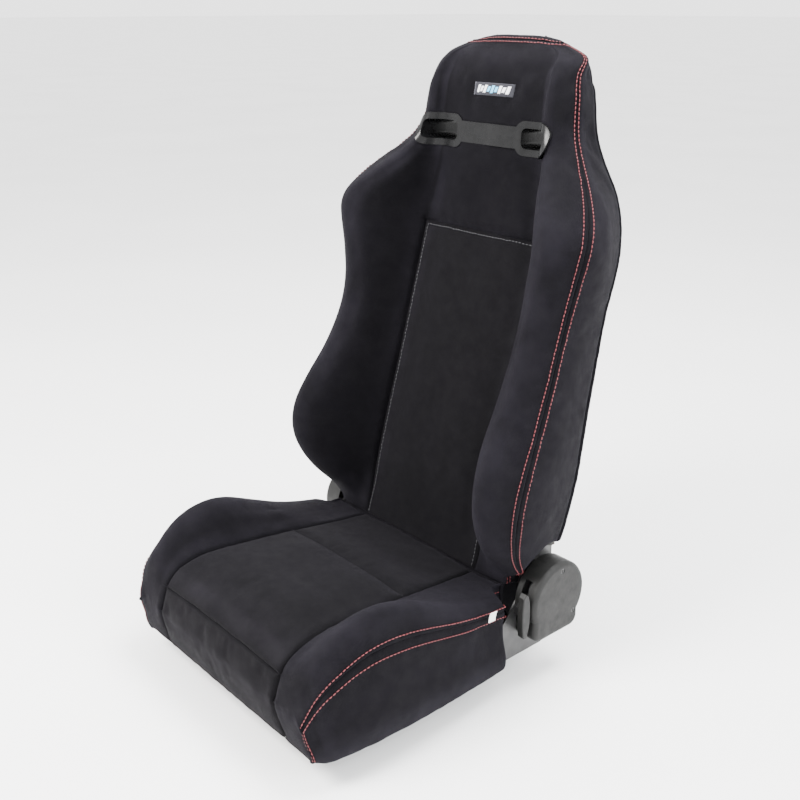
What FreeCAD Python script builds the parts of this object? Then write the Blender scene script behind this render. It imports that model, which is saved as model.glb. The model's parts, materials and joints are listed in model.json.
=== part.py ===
"""Reclining racing seat on floor sliders, as separate named pieces.

Millimetres. +Z is up and the floor is z = 0. The seat faces -Y, and +X is the sitter's left.
The origin is the centre of the floor bolt pattern, on the underside of the rails. The pieces
are drawn about the middle of the cushion, and make_all moves them to that origin.
"""
import FreeCAD, Part
import math
import os

Vector = FreeCAD.Vector

# ---- driving dimensions -------------------------------------------------------------------
SKIRT_HEIGHT = 42.0           # underside of the cushion above the floor
SKIN = 3.0                    # thickness of the sewn covers
CROWN_SKIN = 7.0              # thickness of the backrest cover where it gathers at the crown
GAP = 0.4                     # air between a cover and the foam inside it

RAIL_X = 145.0                # centre of each slider from the middle of the seat
RAIL_Y = 45.0                 # middle of the sliders behind the middle of the cushion
RAIL_LENGTH = 380.0
RAIL_SHEET = 2.5
FLOOR_BOLT_SPAN = 300.0       # between the front and rear floor bolts
FLOOR_HOLE_RADIUS = 4.5
FRAME_BOLT_Y = (RAIL_Y - 120, RAIL_Y + 120)
BOLT_RADIUS = 4.0
BOLT_CLEARANCE = 0.05

HINGE_Y = 255.0
HINGE_Z = 140.0
SHAFT_RADIUS = 4.5
PLATE_RADIUS = 44.0           # round end of a side member about the hinge
SWEEP_RADIUS = 68.0           # upholstery beside the hinge is cut back to this radius
ARM_INNER_X = 212.0
PLATE_THICKNESS = 3.0
SIDE_WALL_X = 226.0

# The front centre line of the backrest, from its lower end to its top: (y, z).
PROFILE = [
    (178, 120), (196, 190), (230, 330), (268, 470), (305, 600), (330, 690),
    (340, 760), (344, 840), (350, 915), (364, 965), (390, 990),
]

# Backrest stations, in order along the profile: distance along it, half width of the flat
# insert, crest half width, crest height in front of the insert, seam half width, drop from
# the crest to the seam, rear half width, depth behind the insert.
BACK_STATIONS = [
    (42, 139, 198, 0, 226, 12, 216, 84),
    (65, 139, 207, 14, 238, 18, 226, 88),
    (95, 138, 216, 58, 249, 30, 232, 90),
    (135, 138, 226, 104, 260, 46, 238, 90),
    (190, 137, 232, 134, 268, 58, 242, 90),
    (245, 136, 228, 134, 268, 58, 242, 90),
    (310, 135, 217, 112, 261, 48, 238, 88),
    (380, 135, 209, 92, 254, 40, 234, 86),
    (450, 136, 209, 88, 253, 38, 232, 82),
    (520, 137, 218, 102, 262, 42, 232, 78),
    (580, 137, 226, 116, 273, 46, 234, 76),
    (630, 130, 218, 112, 269, 46, 228, 74),
    (675, 120, 190, 82, 240, 40, 210, 74),
    (712, 113, 160, 46, 203, 32, 186, 74),
    (750, 108, 140, 23, 174, 28, 168, 73),
    (810, 105, 133, 16, 162, 27, 156, 72),
    (858, 102, 127, 8, 153, 26, 146, 64),
    (886, 90, 112, -2, 139, 18, 128, 46),
    (904, 56, 72, -3, 98, 5, 84, 36),
]

# Cushion stations from front to rear: y, half width of the insert, its height, crest half
# width and height, seam half width and height. Heights are above the cushion's underside.
CUSHION_STATIONS = [
    (-232, 158, 72, 204, 80, 226, 62),
    (-220, 158, 108, 210, 116, 236, 94),
    (-195, 158, 138, 218, 158, 245, 124),
    (-150, 156, 150, 226, 190, 252, 148),
    (-80, 152, 148, 231, 202, 257, 155),
    (-10, 148, 142, 233, 180, 257, 142),
    (60, 144, 134, 233, 150, 255, 124),
    (130, 140, 126, 230, 132, 252, 112),
    (190, 138, 120, 226, 122, 246, 104),
]
CUSHION_FRONT = -232.0
CUSHION_REAR = 184.0
SKIRT_REAR = 164.0            # the side skirts end here, ahead of the recliners
NOTCH_X = 208.0               # inner edge of the clear space around each recliner
HOLLOW_X = 234.0              # the seat frame sits in this hollow under the cushion foam
HOLLOW_FRONT = -202.0
HOLLOW_REAR = 170.0
HOLLOW_TOP = 100.0
BOLSTER_SPLIT = 150.0         # joint between the centre foam and the cushion's side foam

BACK_SPLIT = 138.0            # joint between the centre foam and the side foam of the back
HEADREST_START = 672.0        # distance along the profile where the headrest foam begins
FRAME_DEPTH = -50.0           # backrest tubes behind the insert surface
POCKET_DEPTH = -37.0          # the foam is hollowed behind this for the tubes

CROWN_START = 850.0           # distance along the profile where the headrest's top rounds off

SLOT_AT = 745.0               # harness slots, distance along the profile
SLOT_X = 103.0
SLOT_WIDTH = 64.0
SLOT_HEIGHT = 32.0
SLEEVE_WALL = 2.0
BEZEL_SCREWS = (-30.0, 30.0)


# ---- general helpers ----------------------------------------------------------------------
def box(x0, x1, y0, y1, z0, z1):
    """Axis-aligned box between two corners."""
    return Part.makeBox(x1 - x0, y1 - y0, z1 - z0, Vector(x0, y0, z0))


def rod_x(x0, x1, y, z, radius):
    """Cylinder along X."""
    return Part.makeCylinder(radius, x1 - x0, Vector(x0, y, z), Vector(1, 0, 0))


def rod_z(x, y, z0, z1, radius):
    """Vertical cylinder."""
    return Part.makeCylinder(radius, z1 - z0, Vector(x, y, z0), Vector(0, 0, 1))


def mirror(shape):
    """The same piece on the other side of the seat."""
    return shape.mirror(Vector(0, 0, 0), Vector(1, 0, 0))


def cut_all(shape, tools):
    for tool in tools:
        shape = shape.cut(tool)
    return shape


def fuse_all(shapes):
    """One solid out of pieces that are welded or moulded together."""
    return shapes[0].multiFuse(shapes[1:]).removeSplitter()


def hex_prism(centre, axis, across_flats, height):
    """Hexagonal bolt head or nut that rises from centre along axis (X or Z)."""
    radius = across_flats / math.sqrt(3)
    corners = []
    for step in range(7):
        angle = math.radians(60 * step)
        a = radius * math.cos(angle)
        b = radius * math.sin(angle)
        offset = Vector(0, a, b) if abs(axis.x) > 0.5 else Vector(a, b, 0)
        corners.append(centre + offset)
    return Part.Face(Part.makePolygon(corners)).extrude(axis * height)


def rounded_path(points, radius):
    """Wire of straight runs joined by tangent arcs."""
    edges = []
    start = points[0]
    for before, corner, after in zip(points, points[1:], points[2:]):
        back = (before - corner).normalize()
        ahead = (after - corner).normalize()
        half_turn = back.getAngle(ahead) / 2
        trim = radius / math.tan(half_turn)
        tangent_in = corner + back * trim
        tangent_out = corner + ahead * trim
        towards_centre = (back + ahead).normalize()
        middle = corner + towards_centre * (radius / math.sin(half_turn) - radius)
        edges.append(Part.LineSegment(start, tangent_in).toShape())
        edges.append(Part.Arc(tangent_in, middle, tangent_out).toShape())
        start = tangent_out
    edges.append(Part.LineSegment(start, points[-1]).toShape())
    return Part.Wire(edges)


def bar(points, bend, radius):
    """Solid round bar along a path with bends."""
    path = rounded_path(points, bend)
    direction = (points[1] - points[0]).normalize()
    section = Part.Wire(Part.makeCircle(radius, points[0], direction))
    return path.makePipeShell([section], True, False)


def tube(points, bend, radius, wall):
    """Round tube along a path with bends, open at both ends."""
    return bar(points, bend, radius).cut(bar(points, bend, radius - wall))


def zigzag(start, along, across, length, swing, pitch):
    """Points of a sinuous spring from start to start + along * length."""
    lead = (length - pitch * math.floor(length / pitch - 1)) / 2
    points = [start, start + along * lead]
    position = lead
    side = 1
    points.append(points[-1] + across * swing)
    while position + pitch < length - lead + 0.1:
        position += pitch
        points.append(start + along * position + across * swing * side)
        side = -side
        points.append(start + along * position + across * swing * side)
    points[-1] = start + along * position
    points.append(start + along * length)
    return points


def inset_loop(points, inset):
    """Clockwise loop of (a, b) points moved inward by inset."""
    moved = []
    count = len(points)
    for i in range(count):
        a0, b0 = points[i - 1]
        a1, b1 = points[(i + 1) % count]
        length = math.hypot(a1 - a0, b1 - b0)
        a, b = points[i]
        moved.append((a + inset * (b1 - b0) / length, b - inset * (a1 - a0) / length))
    return moved


def closed_curve(points):
    """Smooth closed wire through points, with evenly spaced parameters."""
    curve = Part.BSplineCurve()
    parameters = [float(i) for i in range(len(points) + 1)]
    curve.interpolate(Points=points, PeriodicFlag=True, Parameters=parameters)
    return Part.Wire(curve.toShape())


def whole_loop(half):
    """Right half of a section, top to bottom, made into the closed clockwise loop."""
    return half + [(-a, b) for a, b in reversed(half[1:-1])]


# ---- backrest coordinates -----------------------------------------------------------------
def make_profile():
    curve = Part.BSplineCurve()
    curve.interpolate(Points=[Vector(0, y, z) for y, z in PROFILE])
    return curve


PROFILE_CURVE = make_profile()


def profile_axes(s):
    """Point, upward and forward directions of the profile at distance s.

    The directions stay the same over the crown, so that its sections are parallel.
    """
    parameter = PROFILE_CURVE.parameterAtDistance(s, PROFILE_CURVE.FirstParameter)
    point = PROFILE_CURVE.value(parameter)
    if s > CROWN_START:
        parameter = PROFILE_CURVE.parameterAtDistance(CROWN_START, PROFILE_CURVE.FirstParameter)
    up = PROFILE_CURVE.tangent(parameter)[0]
    forward = Vector(0, -up.z, up.y)
    return point, up, forward


def on_back(u, s, d):
    """Point u to the side, s along the profile and d in front of it."""
    point, up, forward = profile_axes(s)
    return point + Vector(u, 0, 0) + forward * d


def above_station(s):
    """Everything above the plane across the profile at distance s."""
    point, up, forward = profile_axes(s)
    corner = point + Vector(-400, 0, 0) + forward * 500
    block = Part.makeBox(800, 1000, 1200)
    block.Placement = FreeCAD.Placement(corner, FreeCAD.Rotation(Vector(1, 0, 0), forward * -1, up))
    return block


def slot_prism(u, width, height, corner, front, rear):
    """Rounded bar through the headrest at the harness slots, centred at u."""
    point, up, forward = profile_axes(SLOT_AT)
    a = width / 2 - corner
    b = height / 2 - corner
    edges = []
    ring = [(a, b, 0), (-a, b, 90), (-a, -b, 180), (a, -b, 270)]
    placed = []
    for ca, cb, turn in ring:
        for step in (0, 45, 90):
            angle = math.radians(turn + step)
            x = u + ca + corner * math.cos(angle)
            z = cb + corner * math.sin(angle)
            placed.append(point + Vector(x, 0, 0) + up * z + forward * front)
    for i in range(0, 12, 3):
        edges.append(Part.Arc(placed[i], placed[i + 1], placed[i + 2]).toShape())
        edges.append(Part.LineSegment(placed[i + 2], placed[(i + 3) % 12]).toShape())
    return Part.Face(Part.Wire(edges)).extrude(forward * (rear - front))


# ---- soft shapes --------------------------------------------------------------------------
def back_section(station, inset):
    s, insert, crest, rise, seam, drop, rear, depth = station
    side = rise - drop
    half = [
        (0, 4), (0.6 * insert, 3), (insert, 0),
        (insert + 0.45 * (crest - insert), 0.55 * rise), (crest, rise), (seam, side),
        (seam + 0.3 * (rear - seam) + 2, 0.4 * side - 0.4 * depth),
        (rear, 10 - depth), (rear - 16, -depth), (0.5 * rear, -depth - 3), (0, -depth - 4),
    ]
    loop = inset_loop(whole_loop(half), inset)
    return closed_curve([on_back(u, s, d) for u, d in loop])


def back_block(inset, lower_trim, upper_trim):
    """Backrest body moved inward by inset, with its ends moved along the profile."""
    stations = [list(row) for row in BACK_STATIONS]
    stations[0][0] += lower_trim
    stations[-1][0] -= upper_trim
    return Part.makeLoft([back_section(row, inset) for row in stations], True, False)


def back_skin():
    """Backrest cover as a closed shell of outer faces, inner faces and the lower rim."""
    faces = []
    rims = []
    for block in (back_block(0, 0, 0), back_block(SKIN, 0, CROWN_SKIN)):
        parts = sorted(block.Faces, key=lambda face: face.CenterOfMass.z)
        rims.append(parts[0].OuterWire)
        faces += parts[1:]
    faces.append(Part.Face(rims))
    shell = Part.makeShell(faces)
    shell.sewShape()
    return Part.makeSolid(shell)


def cushion_section(station, inset):
    y, insert, insert_top, crest, crest_top, seam, seam_top = station
    half = [
        (0, insert_top + 4), (0.6 * insert, insert_top + 3), (insert, insert_top),
        (insert + 0.45 * (crest - insert), insert_top + 0.55 * (crest_top - insert_top)),
        (crest, crest_top), (seam, seam_top), (seam + 3, 0.5 * seam_top),
        (seam - 2, 0), (0.5 * seam, -10), (0, -10),
    ]
    loop = inset_loop(whole_loop(half), inset)
    return closed_curve([Vector(x, y, SKIRT_HEIGHT + z) for x, z in loop])


def cushion_block(inset, front, rear, bottom):
    """Cushion body moved inward by inset and cut square at its rear and underside."""
    stations = [list(row) for row in CUSHION_STATIONS]
    stations[0][0] = front
    body = Part.makeLoft([cushion_section(row, inset) for row in stations], True, False)
    return body.common(box(-300, 300, front, rear, bottom, 400))


def recliner_notches():
    """Clear space beside each recliner, behind the cushion's side skirts."""
    right = box(-NOTCH_X - 100, -NOTCH_X, SKIRT_REAR, CUSHION_REAR + 50, 0, 400)
    return [right, mirror(right)]


def front_undercut(inset):
    """Wedge that lets the front of the cushion slope back towards its lower edge."""
    y = CUSHION_FRONT + inset
    outline = [(y - 20, 20), (y, 108), (y - 20, 108)]
    foot = (y + 22, 20)
    corners = [Vector(-300, a, b) for a, b in outline[:1] + [foot] + outline[1:]]
    corners.append(corners[0])
    return Part.Face(Part.makePolygon(corners)).extrude(Vector(600, 0, 0))


def sweep_rings():
    """Round spaces that the fixed recliner covers need beside the backrest."""
    ring = rod_x(NOTCH_X, NOTCH_X + 100, HINGE_Y, HINGE_Z, SWEEP_RADIUS)
    return [ring, mirror(ring)]


def slot_tunnels(extra):
    width = SLOT_WIDTH + 2 * SLEEVE_WALL + 2 * extra
    height = SLOT_HEIGHT + 2 * SLEEVE_WALL + 2 * extra
    return [slot_prism(side * SLOT_X, width, height, 12, 60, -140) for side in (-1, 1)]


def frame_pocket():
    """Hollow in the rear of the foam for the tubes, arms and springs."""
    sections = []
    for s, half_width in ((20, 222), (270, 222), (420, 212), (600, 208), (672, 200)):
        corners = [(-half_width, POCKET_DEPTH), (half_width, POCKET_DEPTH),
                   (half_width, -130), (-half_width, -130), (-half_width, POCKET_DEPTH)]
        sections.append(Part.makePolygon([on_back(u, s, d) for u, d in corners]))
    return Part.makeLoft(sections, True, True)


def rod_pocket():
    """Flat pocket up the middle of the headrest foam for the bent rod."""
    point, up, forward = profile_axes(750)
    pocket = Part.makeBox(124, 28, 208)
    corner = point + Vector(-62, 0, 0) + forward * -29 - up * 98
    pocket.Placement = FreeCAD.Placement(corner, FreeCAD.Rotation(Vector(1, 0, 0), forward * -1, up))
    return pocket


def split_foam(block, half_width):
    """Centre, left and right pieces of a foam block."""
    far = 400
    centre = block.common(box(-half_width, half_width, -far, 2 * far, 0, 3 * far))
    left = block.common(box(half_width, far, -far, 2 * far, 0, 3 * far))
    right = block.common(box(-far, -half_width, -far, 2 * far, 0, 3 * far))
    return centre, left, right


def make_cushion():
    cover = cushion_block(0, CUSHION_FRONT, CUSHION_REAR, SKIRT_HEIGHT)
    cover = cover.cut(front_undercut(0))
    inside = cushion_block(SKIN, CUSHION_FRONT + SKIN, CUSHION_REAR - SKIN, 0)
    inside = inside.cut(front_undercut(SKIN))
    cover = cut_all(cover.cut(inside), recliner_notches())
    inset = SKIN + GAP
    foam = cushion_block(inset, CUSHION_FRONT + inset, CUSHION_REAR - inset, SKIRT_HEIGHT + 2)
    hollow = box(-HOLLOW_X, HOLLOW_X, HOLLOW_FRONT, HOLLOW_REAR, 0, HOLLOW_TOP)
    foam = cut_all(foam, [front_undercut(inset), hollow] + recliner_notches())
    centre, left, right = split_foam(foam, BOLSTER_SPLIT)
    return {
        "cushion_cover": cover,
        "cushion_foam_center": centre,
        "cushion_bolster_foam_left": left,
        "cushion_bolster_foam_right": right,
        "cushion_tag": box(260.4, 261.8, 98, 111, 158, 172),
    }


def make_backrest_soft():
    openings = slot_tunnels(0.5) + sweep_rings() + arm_pockets() + screw_holes()
    cover = cut_all(back_skin(), openings)
    inset = SKIN + GAP
    foam = back_block(inset, 0.5, 2 * inset)
    foam = cut_all(foam, openings + [frame_pocket()])
    upper = above_station(HEADREST_START)
    headrest = foam.common(upper).cut(rod_pocket())
    centre, left, right = split_foam(foam.cut(upper), BACK_SPLIT)
    return {
        "backrest_cover": cover,
        "backrest_foam_center": centre,
        "backrest_bolster_foam_left": left,
        "backrest_bolster_foam_right": right,
        "headrest_foam": headrest,
        "backrest_back_board": back_board(),
        "headrest_badge": badge(),
    }


def back_board():
    """Stiff board that closes the rear of the backrest behind the springs."""
    sections = []
    for s, half_width, depth in ((75, 200, 80), (200, 212, 82), (330, 208, 79),
                                 (460, 204, 74), (570, 202, 69), (664, 186, 67)):
        corners = [(-half_width, -depth + 4), (half_width, -depth + 4),
                   (half_width, -depth), (-half_width, -depth), (-half_width, -depth + 4)]
        sections.append(Part.makePolygon([on_back(u, s, d) for u, d in corners]))
    return Part.makeLoft(sections, True, False)


def screw_holes():
    """Holes for the rear bezel's screws."""
    point, up, forward = profile_axes(SLOT_AT)
    return [Part.makeCylinder(2.4, 60, point + Vector(u, 0, 0) + forward * -58, forward * -1)
            for u in BEZEL_SCREWS]


def badge():
    """Blank woven strip on the headrest front."""
    at = 815
    point, up, forward = profile_axes(at)
    strip = Part.makeBox(88, 20, 1.6)
    corner = point + Vector(-44, 0, 0) - up * 10 + forward * 4.4
    strip.Placement = FreeCAD.Placement(corner, FreeCAD.Rotation(Vector(1, 0, 0), up, forward))
    return strip.cut(back_block(-0.2, 0, -0.2))


# ---- harness slot trim --------------------------------------------------------------------
def bezel_outline(front, rear):
    """Two round-cornered eyes joined by a narrower bridge."""
    eyes = [slot_prism(side * 101, 86, 54, 20, front, rear) for side in (-1, 1)]
    bridge = slot_prism(0, 150, 34, 6, front, rear)
    return fuse_all(eyes + [bridge])


def make_bezels():
    raised = back_block(-4.5, 0, -4)
    body = back_block(-0.4, 0, -0.4)
    front = bezel_outline(60, -20).common(raised).cut(body)
    rear = bezel_outline(-40, -140).common(raised).cut(body)
    holes = [slot_prism(s * SLOT_X, SLOT_WIDTH, SLOT_HEIGHT, 10, 80, -160) for s in (-1, 1)]
    sleeves = [block.common(raised).cut(hole) for block, hole in zip(slot_tunnels(0), holes)]
    front = cut_all(front, slot_tunnels(0.1))
    rear = cut_all(rear, slot_tunnels(0.1))
    screws = []
    for u in BEZEL_SCREWS:
        point, up, forward = profile_axes(SLOT_AT)
        place = point + Vector(u, 0, 0) + forward * (-62)
        hole = Part.makeCylinder(2.0, 40, place, forward * -1)
        head_at = point + Vector(u, 0, 0) + forward * (-73 - 4 - 4.6)
        rear = rear.cut(Part.makeCylinder(2.05, 60, place, forward * -1))
        shank = hole.cut(above_plane(head_at, forward * -1))
        head = Part.makeCylinder(4.2, 2.4, head_at, forward * -1)
        screws.append(fuse_all([shank, head]))
    return {
        "harness_bezel_front": front,
        "harness_bezel_rear": rear,
        "harness_slot_sleeves": Part.makeCompound(sleeves),
        "bezel_screws": Part.makeCompound(screws),
    }


def above_plane(point, direction):
    """Large block on the far side of a plane."""
    return Part.makeCylinder(60, 200, point, direction)


# ---- sliders ------------------------------------------------------------------------------
def lower_rail(side):
    """Channel with inward lips, latch notches and floor bolt holes."""
    half = RAIL_LENGTH / 2
    wall = RAIL_SHEET
    pieces = [
        box(-26, 26, -half, half, 0, wall),
        box(-26, -26 + wall, -half, half, 0, 22),
        box(26 - wall, 26, -half, half, 0, 22),
        box(-26, -14, -half, half, 22 - wall, 22),
        box(14, 26, -half, half, 22 - wall, 22),
    ]
    rail = fuse_all(pieces)
    for y in (-FLOOR_BOLT_SPAN / 2, FLOOR_BOLT_SPAN / 2):
        rail = rail.cut(rod_z(0, y, -1, 5, FLOOR_HOLE_RADIUS))
    for step in range(15):
        y = -173 + 12 * step
        rail = rail.cut(box(-23, -13, y, y + 7, 18, 23))
    rail.translate(Vector(RAIL_X, RAIL_Y, 0))
    return rail if side > 0 else mirror(rail)


def upper_rail(side):
    """Hat section that runs inside the lower rail."""
    half = RAIL_LENGTH / 2 - 20
    wall = RAIL_SHEET
    pieces = [
        box(-12, 12, -half, half, 36 - wall, 36),
        box(-12, -12 + wall, -half, half, 9.5, 36),
        box(12 - wall, 12, -half, half, 9.5, 36),
        box(-21.5, -12, -half, half, 9.5, 9.5 + wall),
        box(12, 21.5, -half, half, 9.5, 9.5 + wall),
    ]
    rail = fuse_all(pieces)
    rail.translate(Vector(RAIL_X, RAIL_Y, 0))
    for y in FRAME_BOLT_Y:
        rail = rail.cut(rod_z(RAIL_X, y, 30, 40, BOLT_RADIUS + BOLT_CLEARANCE))
    return rail if side > 0 else mirror(rail)


def rail_balls(side):
    """Bearing balls under and over the feet of an upper rail."""
    balls = []
    for y in (-90, -45, 45, 90):
        for x in (-17, 17):
            balls.append(Part.makeSphere(3.4, Vector(RAIL_X + x, RAIL_Y + y, 6.0)))
        for x in (-18.6, 18.6):
            balls.append(Part.makeSphere(3.6, Vector(RAIL_X + x, RAIL_Y + y, 15.75)))
    group = Part.makeCompound(balls)
    return group if side > 0 else mirror(group)


def rail_bolts():
    """Bolts that hold the side members on the upper rails."""
    bolts = []
    for side in (-1, 1):
        for y in FRAME_BOLT_Y:
            x = side * RAIL_X
            head = hex_prism(Vector(x, y, 39), Vector(0, 0, 1), 13, 5)
            bolts.append(fuse_all([rod_z(x, y, 26, 39, BOLT_RADIUS), head]))
    return Part.makeCompound(bolts)


def rail_nuts():
    nuts = []
    for side in (-1, 1):
        for y in FRAME_BOLT_Y:
            x = side * RAIL_X
            nut = hex_prism(Vector(x, y, 27), Vector(0, 0, 1), 13, 6.5)
            nuts.append(nut.cut(rod_z(x, y, 20, 40, BOLT_RADIUS + BOLT_CLEARANCE)))
    return Part.makeCompound(nuts)


def make_sliders():
    nodes = {"rail_bolts": rail_bolts(), "rail_nuts": rail_nuts()}
    for name, side in (("left", 1), ("right", -1)):
        nodes["lower_rail_" + name] = lower_rail(side)
        nodes["upper_rail_" + name] = upper_rail(side)
        nodes["rail_balls_" + name] = rail_balls(side)
    return nodes


# ---- seat frame ---------------------------------------------------------------------------
SPRING_WIRE = 1.75
CUSHION_SPRING_Z = 92.0
CUSHION_SPRING_Y = (-90, -35, 20, 75, 130)
LUG_X = RAIL_X - 30.5         # lugs that carry the slide release bar
LUG_Y = 20.0
LUG_Z = 32.0
BAR_RADIUS = 5.0
FRONT_TUBE = (-150.0, 78.0)
REAR_TUBE = (205.0, 75.0)


def side_member(side):
    """Pressed plate with a bottom flange, a lug for the slide release and a round rear end."""
    x0 = SIDE_WALL_X
    x1 = x0 + PLATE_THICKNESS
    outline = [(-195, 36), (-195, 70), (-170, 98), (160, 98), (222, 170),
               (296, 154), (292, 84), (262, 36), (-195, 36)]
    wall = Part.Face(Part.makePolygon([Vector(x0, y, z) for y, z in outline]))
    wall = wall.extrude(Vector(PLATE_THICKNESS, 0, 0))
    flange = box(RAIL_X - 13.5, x0 + 0.5, -185, 262, 36, 39)
    tab = box(LUG_X, RAIL_X, LUG_Y - 12, LUG_Y + 12, 36, 39)
    lug = box(LUG_X, LUG_X + 3, LUG_Y - 12, LUG_Y + 12, 25, 39)
    member = fuse_all([wall, rod_x(x0, x1, HINGE_Y, HINGE_Z, PLATE_RADIUS), flange, tab, lug])
    holes = [rod_x(x0 - 5, x1 + 5, HINGE_Y, HINGE_Z, SHAFT_RADIUS + BOLT_CLEARANCE)]
    holes.append(rod_x(LUG_X - 5, LUG_X + 5, LUG_Y, LUG_Z, BAR_RADIUS + BOLT_CLEARANCE))
    for y in FRAME_BOLT_Y:
        holes.append(rod_z(RAIL_X, y, 30, 45, BOLT_RADIUS + BOLT_CLEARANCE))
    for y in CUSHION_SPRING_Y:
        holes.append(rod_x(x0 - 5, x1 + 5, y, CUSHION_SPRING_Z, SPRING_WIRE + BOLT_CLEARANCE))
    for y in (-100, -20, 60):
        holes.append(rod_x(x0 - 5, x1 + 5, y, 66, 14))
    for angle in (45, 135, 225, 315):
        y = HINGE_Y + 30 * math.cos(math.radians(angle))
        z = HINGE_Z + 30 * math.sin(math.radians(angle))
        holes.append(rod_x(x0 - 5, x1 + 5, y, z, 3))
    member = cut_all(member, holes)
    return member if side > 0 else mirror(member)


def cross_tube(y, z):
    outer = rod_x(-SIDE_WALL_X, SIDE_WALL_X, y, z, 12.5)
    return outer.cut(rod_x(-SIDE_WALL_X, SIDE_WALL_X, y, z, 10.5))


def cushion_springs():
    """Sinuous springs across the seat frame."""
    springs = []
    reach = SIDE_WALL_X + PLATE_THICKNESS + 2
    for y in CUSHION_SPRING_Y:
        start = Vector(-reach, y, CUSHION_SPRING_Z)
        points = zigzag(start, Vector(1, 0, 0), Vector(0, 1, 0), 2 * reach, 16, 22)
        springs.append(bar(points, 9, SPRING_WIRE))
    return Part.makeCompound(springs)


def front_pan():
    """Pressed sheet under the thighs, with a turned-down front edge."""
    half = SIDE_WALL_X - 0.3
    sheet = box(-half, half, -196, -118, 94, 96)
    lip = box(-half, half, -196, -194, 76, 95)
    pan = fuse_all([sheet, lip])
    for x in (-140, -70, 0, 70, 140):
        pan = pan.cut(rod_z(x, -158, 90, 100, 12))
    return pan


def make_seat_frame():
    return {
        "side_member_left": side_member(1),
        "side_member_right": side_member(-1),
        "front_cross_tube": cross_tube(*FRONT_TUBE),
        "rear_cross_tube": cross_tube(*REAR_TUBE),
        "cushion_springs": cushion_springs(),
        "cushion_front_pan": front_pan(),
    }


# ---- recliners ----------------------------------------------------------------------------
COVER_INNER_X = 229.4
COVER_OUTER_X = 270.0
COVER_WALL = 2.5
LEVER_PLANE_X = 242.0


def disc(x0, x1, radius, lip):
    """Recliner half disc with a thinner raised face and a shaft hole."""
    body = rod_x(x0, x1, HINGE_Y, HINGE_Z, radius)
    middle = (x0 + x1) / 2
    groove = rod_x(middle - 0.6, middle + 0.6, HINGE_Y, HINGE_Z, radius + 1)
    groove = groove.cut(rod_x(middle - 1, middle + 1, HINGE_Y, HINGE_Z, radius - lip))
    hole = rod_x(x0 - 1, x1 + 1, HINGE_Y, HINGE_Z, SHAFT_RADIUS + BOLT_CLEARANCE)
    return body.cut(groove).cut(hole)


def power_spring():
    """Flat spiral that lifts the backrest, as alternate half circles about two centres."""
    pitch = 4.6
    strip = 1.6
    turns = 9
    outer = []
    inner = []
    for k in range(turns):
        radius = 13 + pitch * k / 2
        shift = pitch / 4 if k % 2 else -pitch / 4
        sign = 1 if k % 2 == 0 else -1
        for edges, r in ((outer, radius + strip / 2), (inner, radius - strip / 2)):
            centre = HINGE_Y + shift
            ends = (centre + sign * r, centre - sign * r)
            edges.append(Part.Arc(Vector(231, ends[0], HINGE_Z),
                                  Vector(231, centre, HINGE_Z + sign * r),
                                  Vector(231, ends[1], HINGE_Z)).toShape())
    first = Part.LineSegment(outer[0].Vertexes[0].Point, inner[0].Vertexes[0].Point).toShape()
    last = Part.LineSegment(outer[-1].Vertexes[-1].Point,
                            inner[-1].Vertexes[-1].Point).toShape()
    wire = Part.Wire(Part.__sortEdges__(outer + inner + [first, last]))
    return Part.Face(wire).extrude(Vector(5, 0, 0))


def shroud_solid(inset, x0, x1, rounding):
    """Outer form of a recliner cover, moved inward by inset."""
    disc_part = rod_x(x0, x1, HINGE_Y, HINGE_Z, 62 - inset)
    foot = box(x0, x1, HINGE_Y - 56 + inset, HINGE_Y + 50 - inset, 74 + inset, HINGE_Z)
    corners = [edge for edge in foot.Edges
               if abs(edge.Vertexes[0].Z - edge.Vertexes[1].Z) < 0.1
               and abs(edge.Vertexes[0].X - edge.Vertexes[1].X) > 1
               and edge.Vertexes[0].Z < HINGE_Z - 1]
    body = fuse_all([disc_part, foot.makeFillet(18 - inset, corners)])
    rim = [edge for edge in body.Edges
           if all(abs(vertex.X - x1) < 0.01 for vertex in edge.Vertexes)]
    return body.makeFillet(rounding, rim)


def recliner_cover(side):
    """Moulded shell over the spring and the lever boss, open towards the seat."""
    outer = shroud_solid(0, COVER_INNER_X, COVER_OUTER_X, 9)
    inner = shroud_solid(COVER_WALL, COVER_INNER_X - 5, COVER_OUTER_X - COVER_WALL, 6.5)
    cover = outer.cut(inner)
    bosses = []
    for y, z in COVER_SCREWS:
        boss = rod_x(COVER_INNER_X, COVER_OUTER_X - 1, y, z, 5)
        cover = cover.fuse(boss)
        bosses.append(rod_x(COVER_INNER_X - 1, COVER_OUTER_X + 1, y, z, 2.05))
        bosses.append(rod_x(COVER_OUTER_X - 3, COVER_OUTER_X + 1, y, z, 4.6))
    cover = cut_all(cover, bosses)
    if side > 0:
        cover = cover.cut(box(LEVER_PLANE_X - 3, LEVER_PLANE_X + 11, HINGE_Y - 80, HINGE_Y - 30,
                              HINGE_Z - 42, HINGE_Z + 40))
        return cover
    return mirror(cover)


COVER_SCREWS = ((HINGE_Y + 36, HINGE_Z - 36), (HINGE_Y + 4, HINGE_Z + 48))


def cover_screws():
    screws = []
    for y, z in COVER_SCREWS:
        shank = rod_x(COVER_INNER_X + 2, COVER_OUTER_X - 3, y, z, 2)
        head = rod_x(COVER_OUTER_X - 3, COVER_OUTER_X - 0.6, y, z, 4.4)
        screw = fuse_all([shank, head])
        slot = box(COVER_OUTER_X - 1.6, COVER_OUTER_X, y - 3, y + 3, z - 0.6, z + 0.6)
        cross = box(COVER_OUTER_X - 1.6, COVER_OUTER_X, y - 0.6, y + 0.6, z - 3, z + 3)
        screw = screw.cut(slot).cut(cross)
        screws.append(screw)
        screws.append(mirror(screw))
    return Part.makeCompound(screws)


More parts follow.
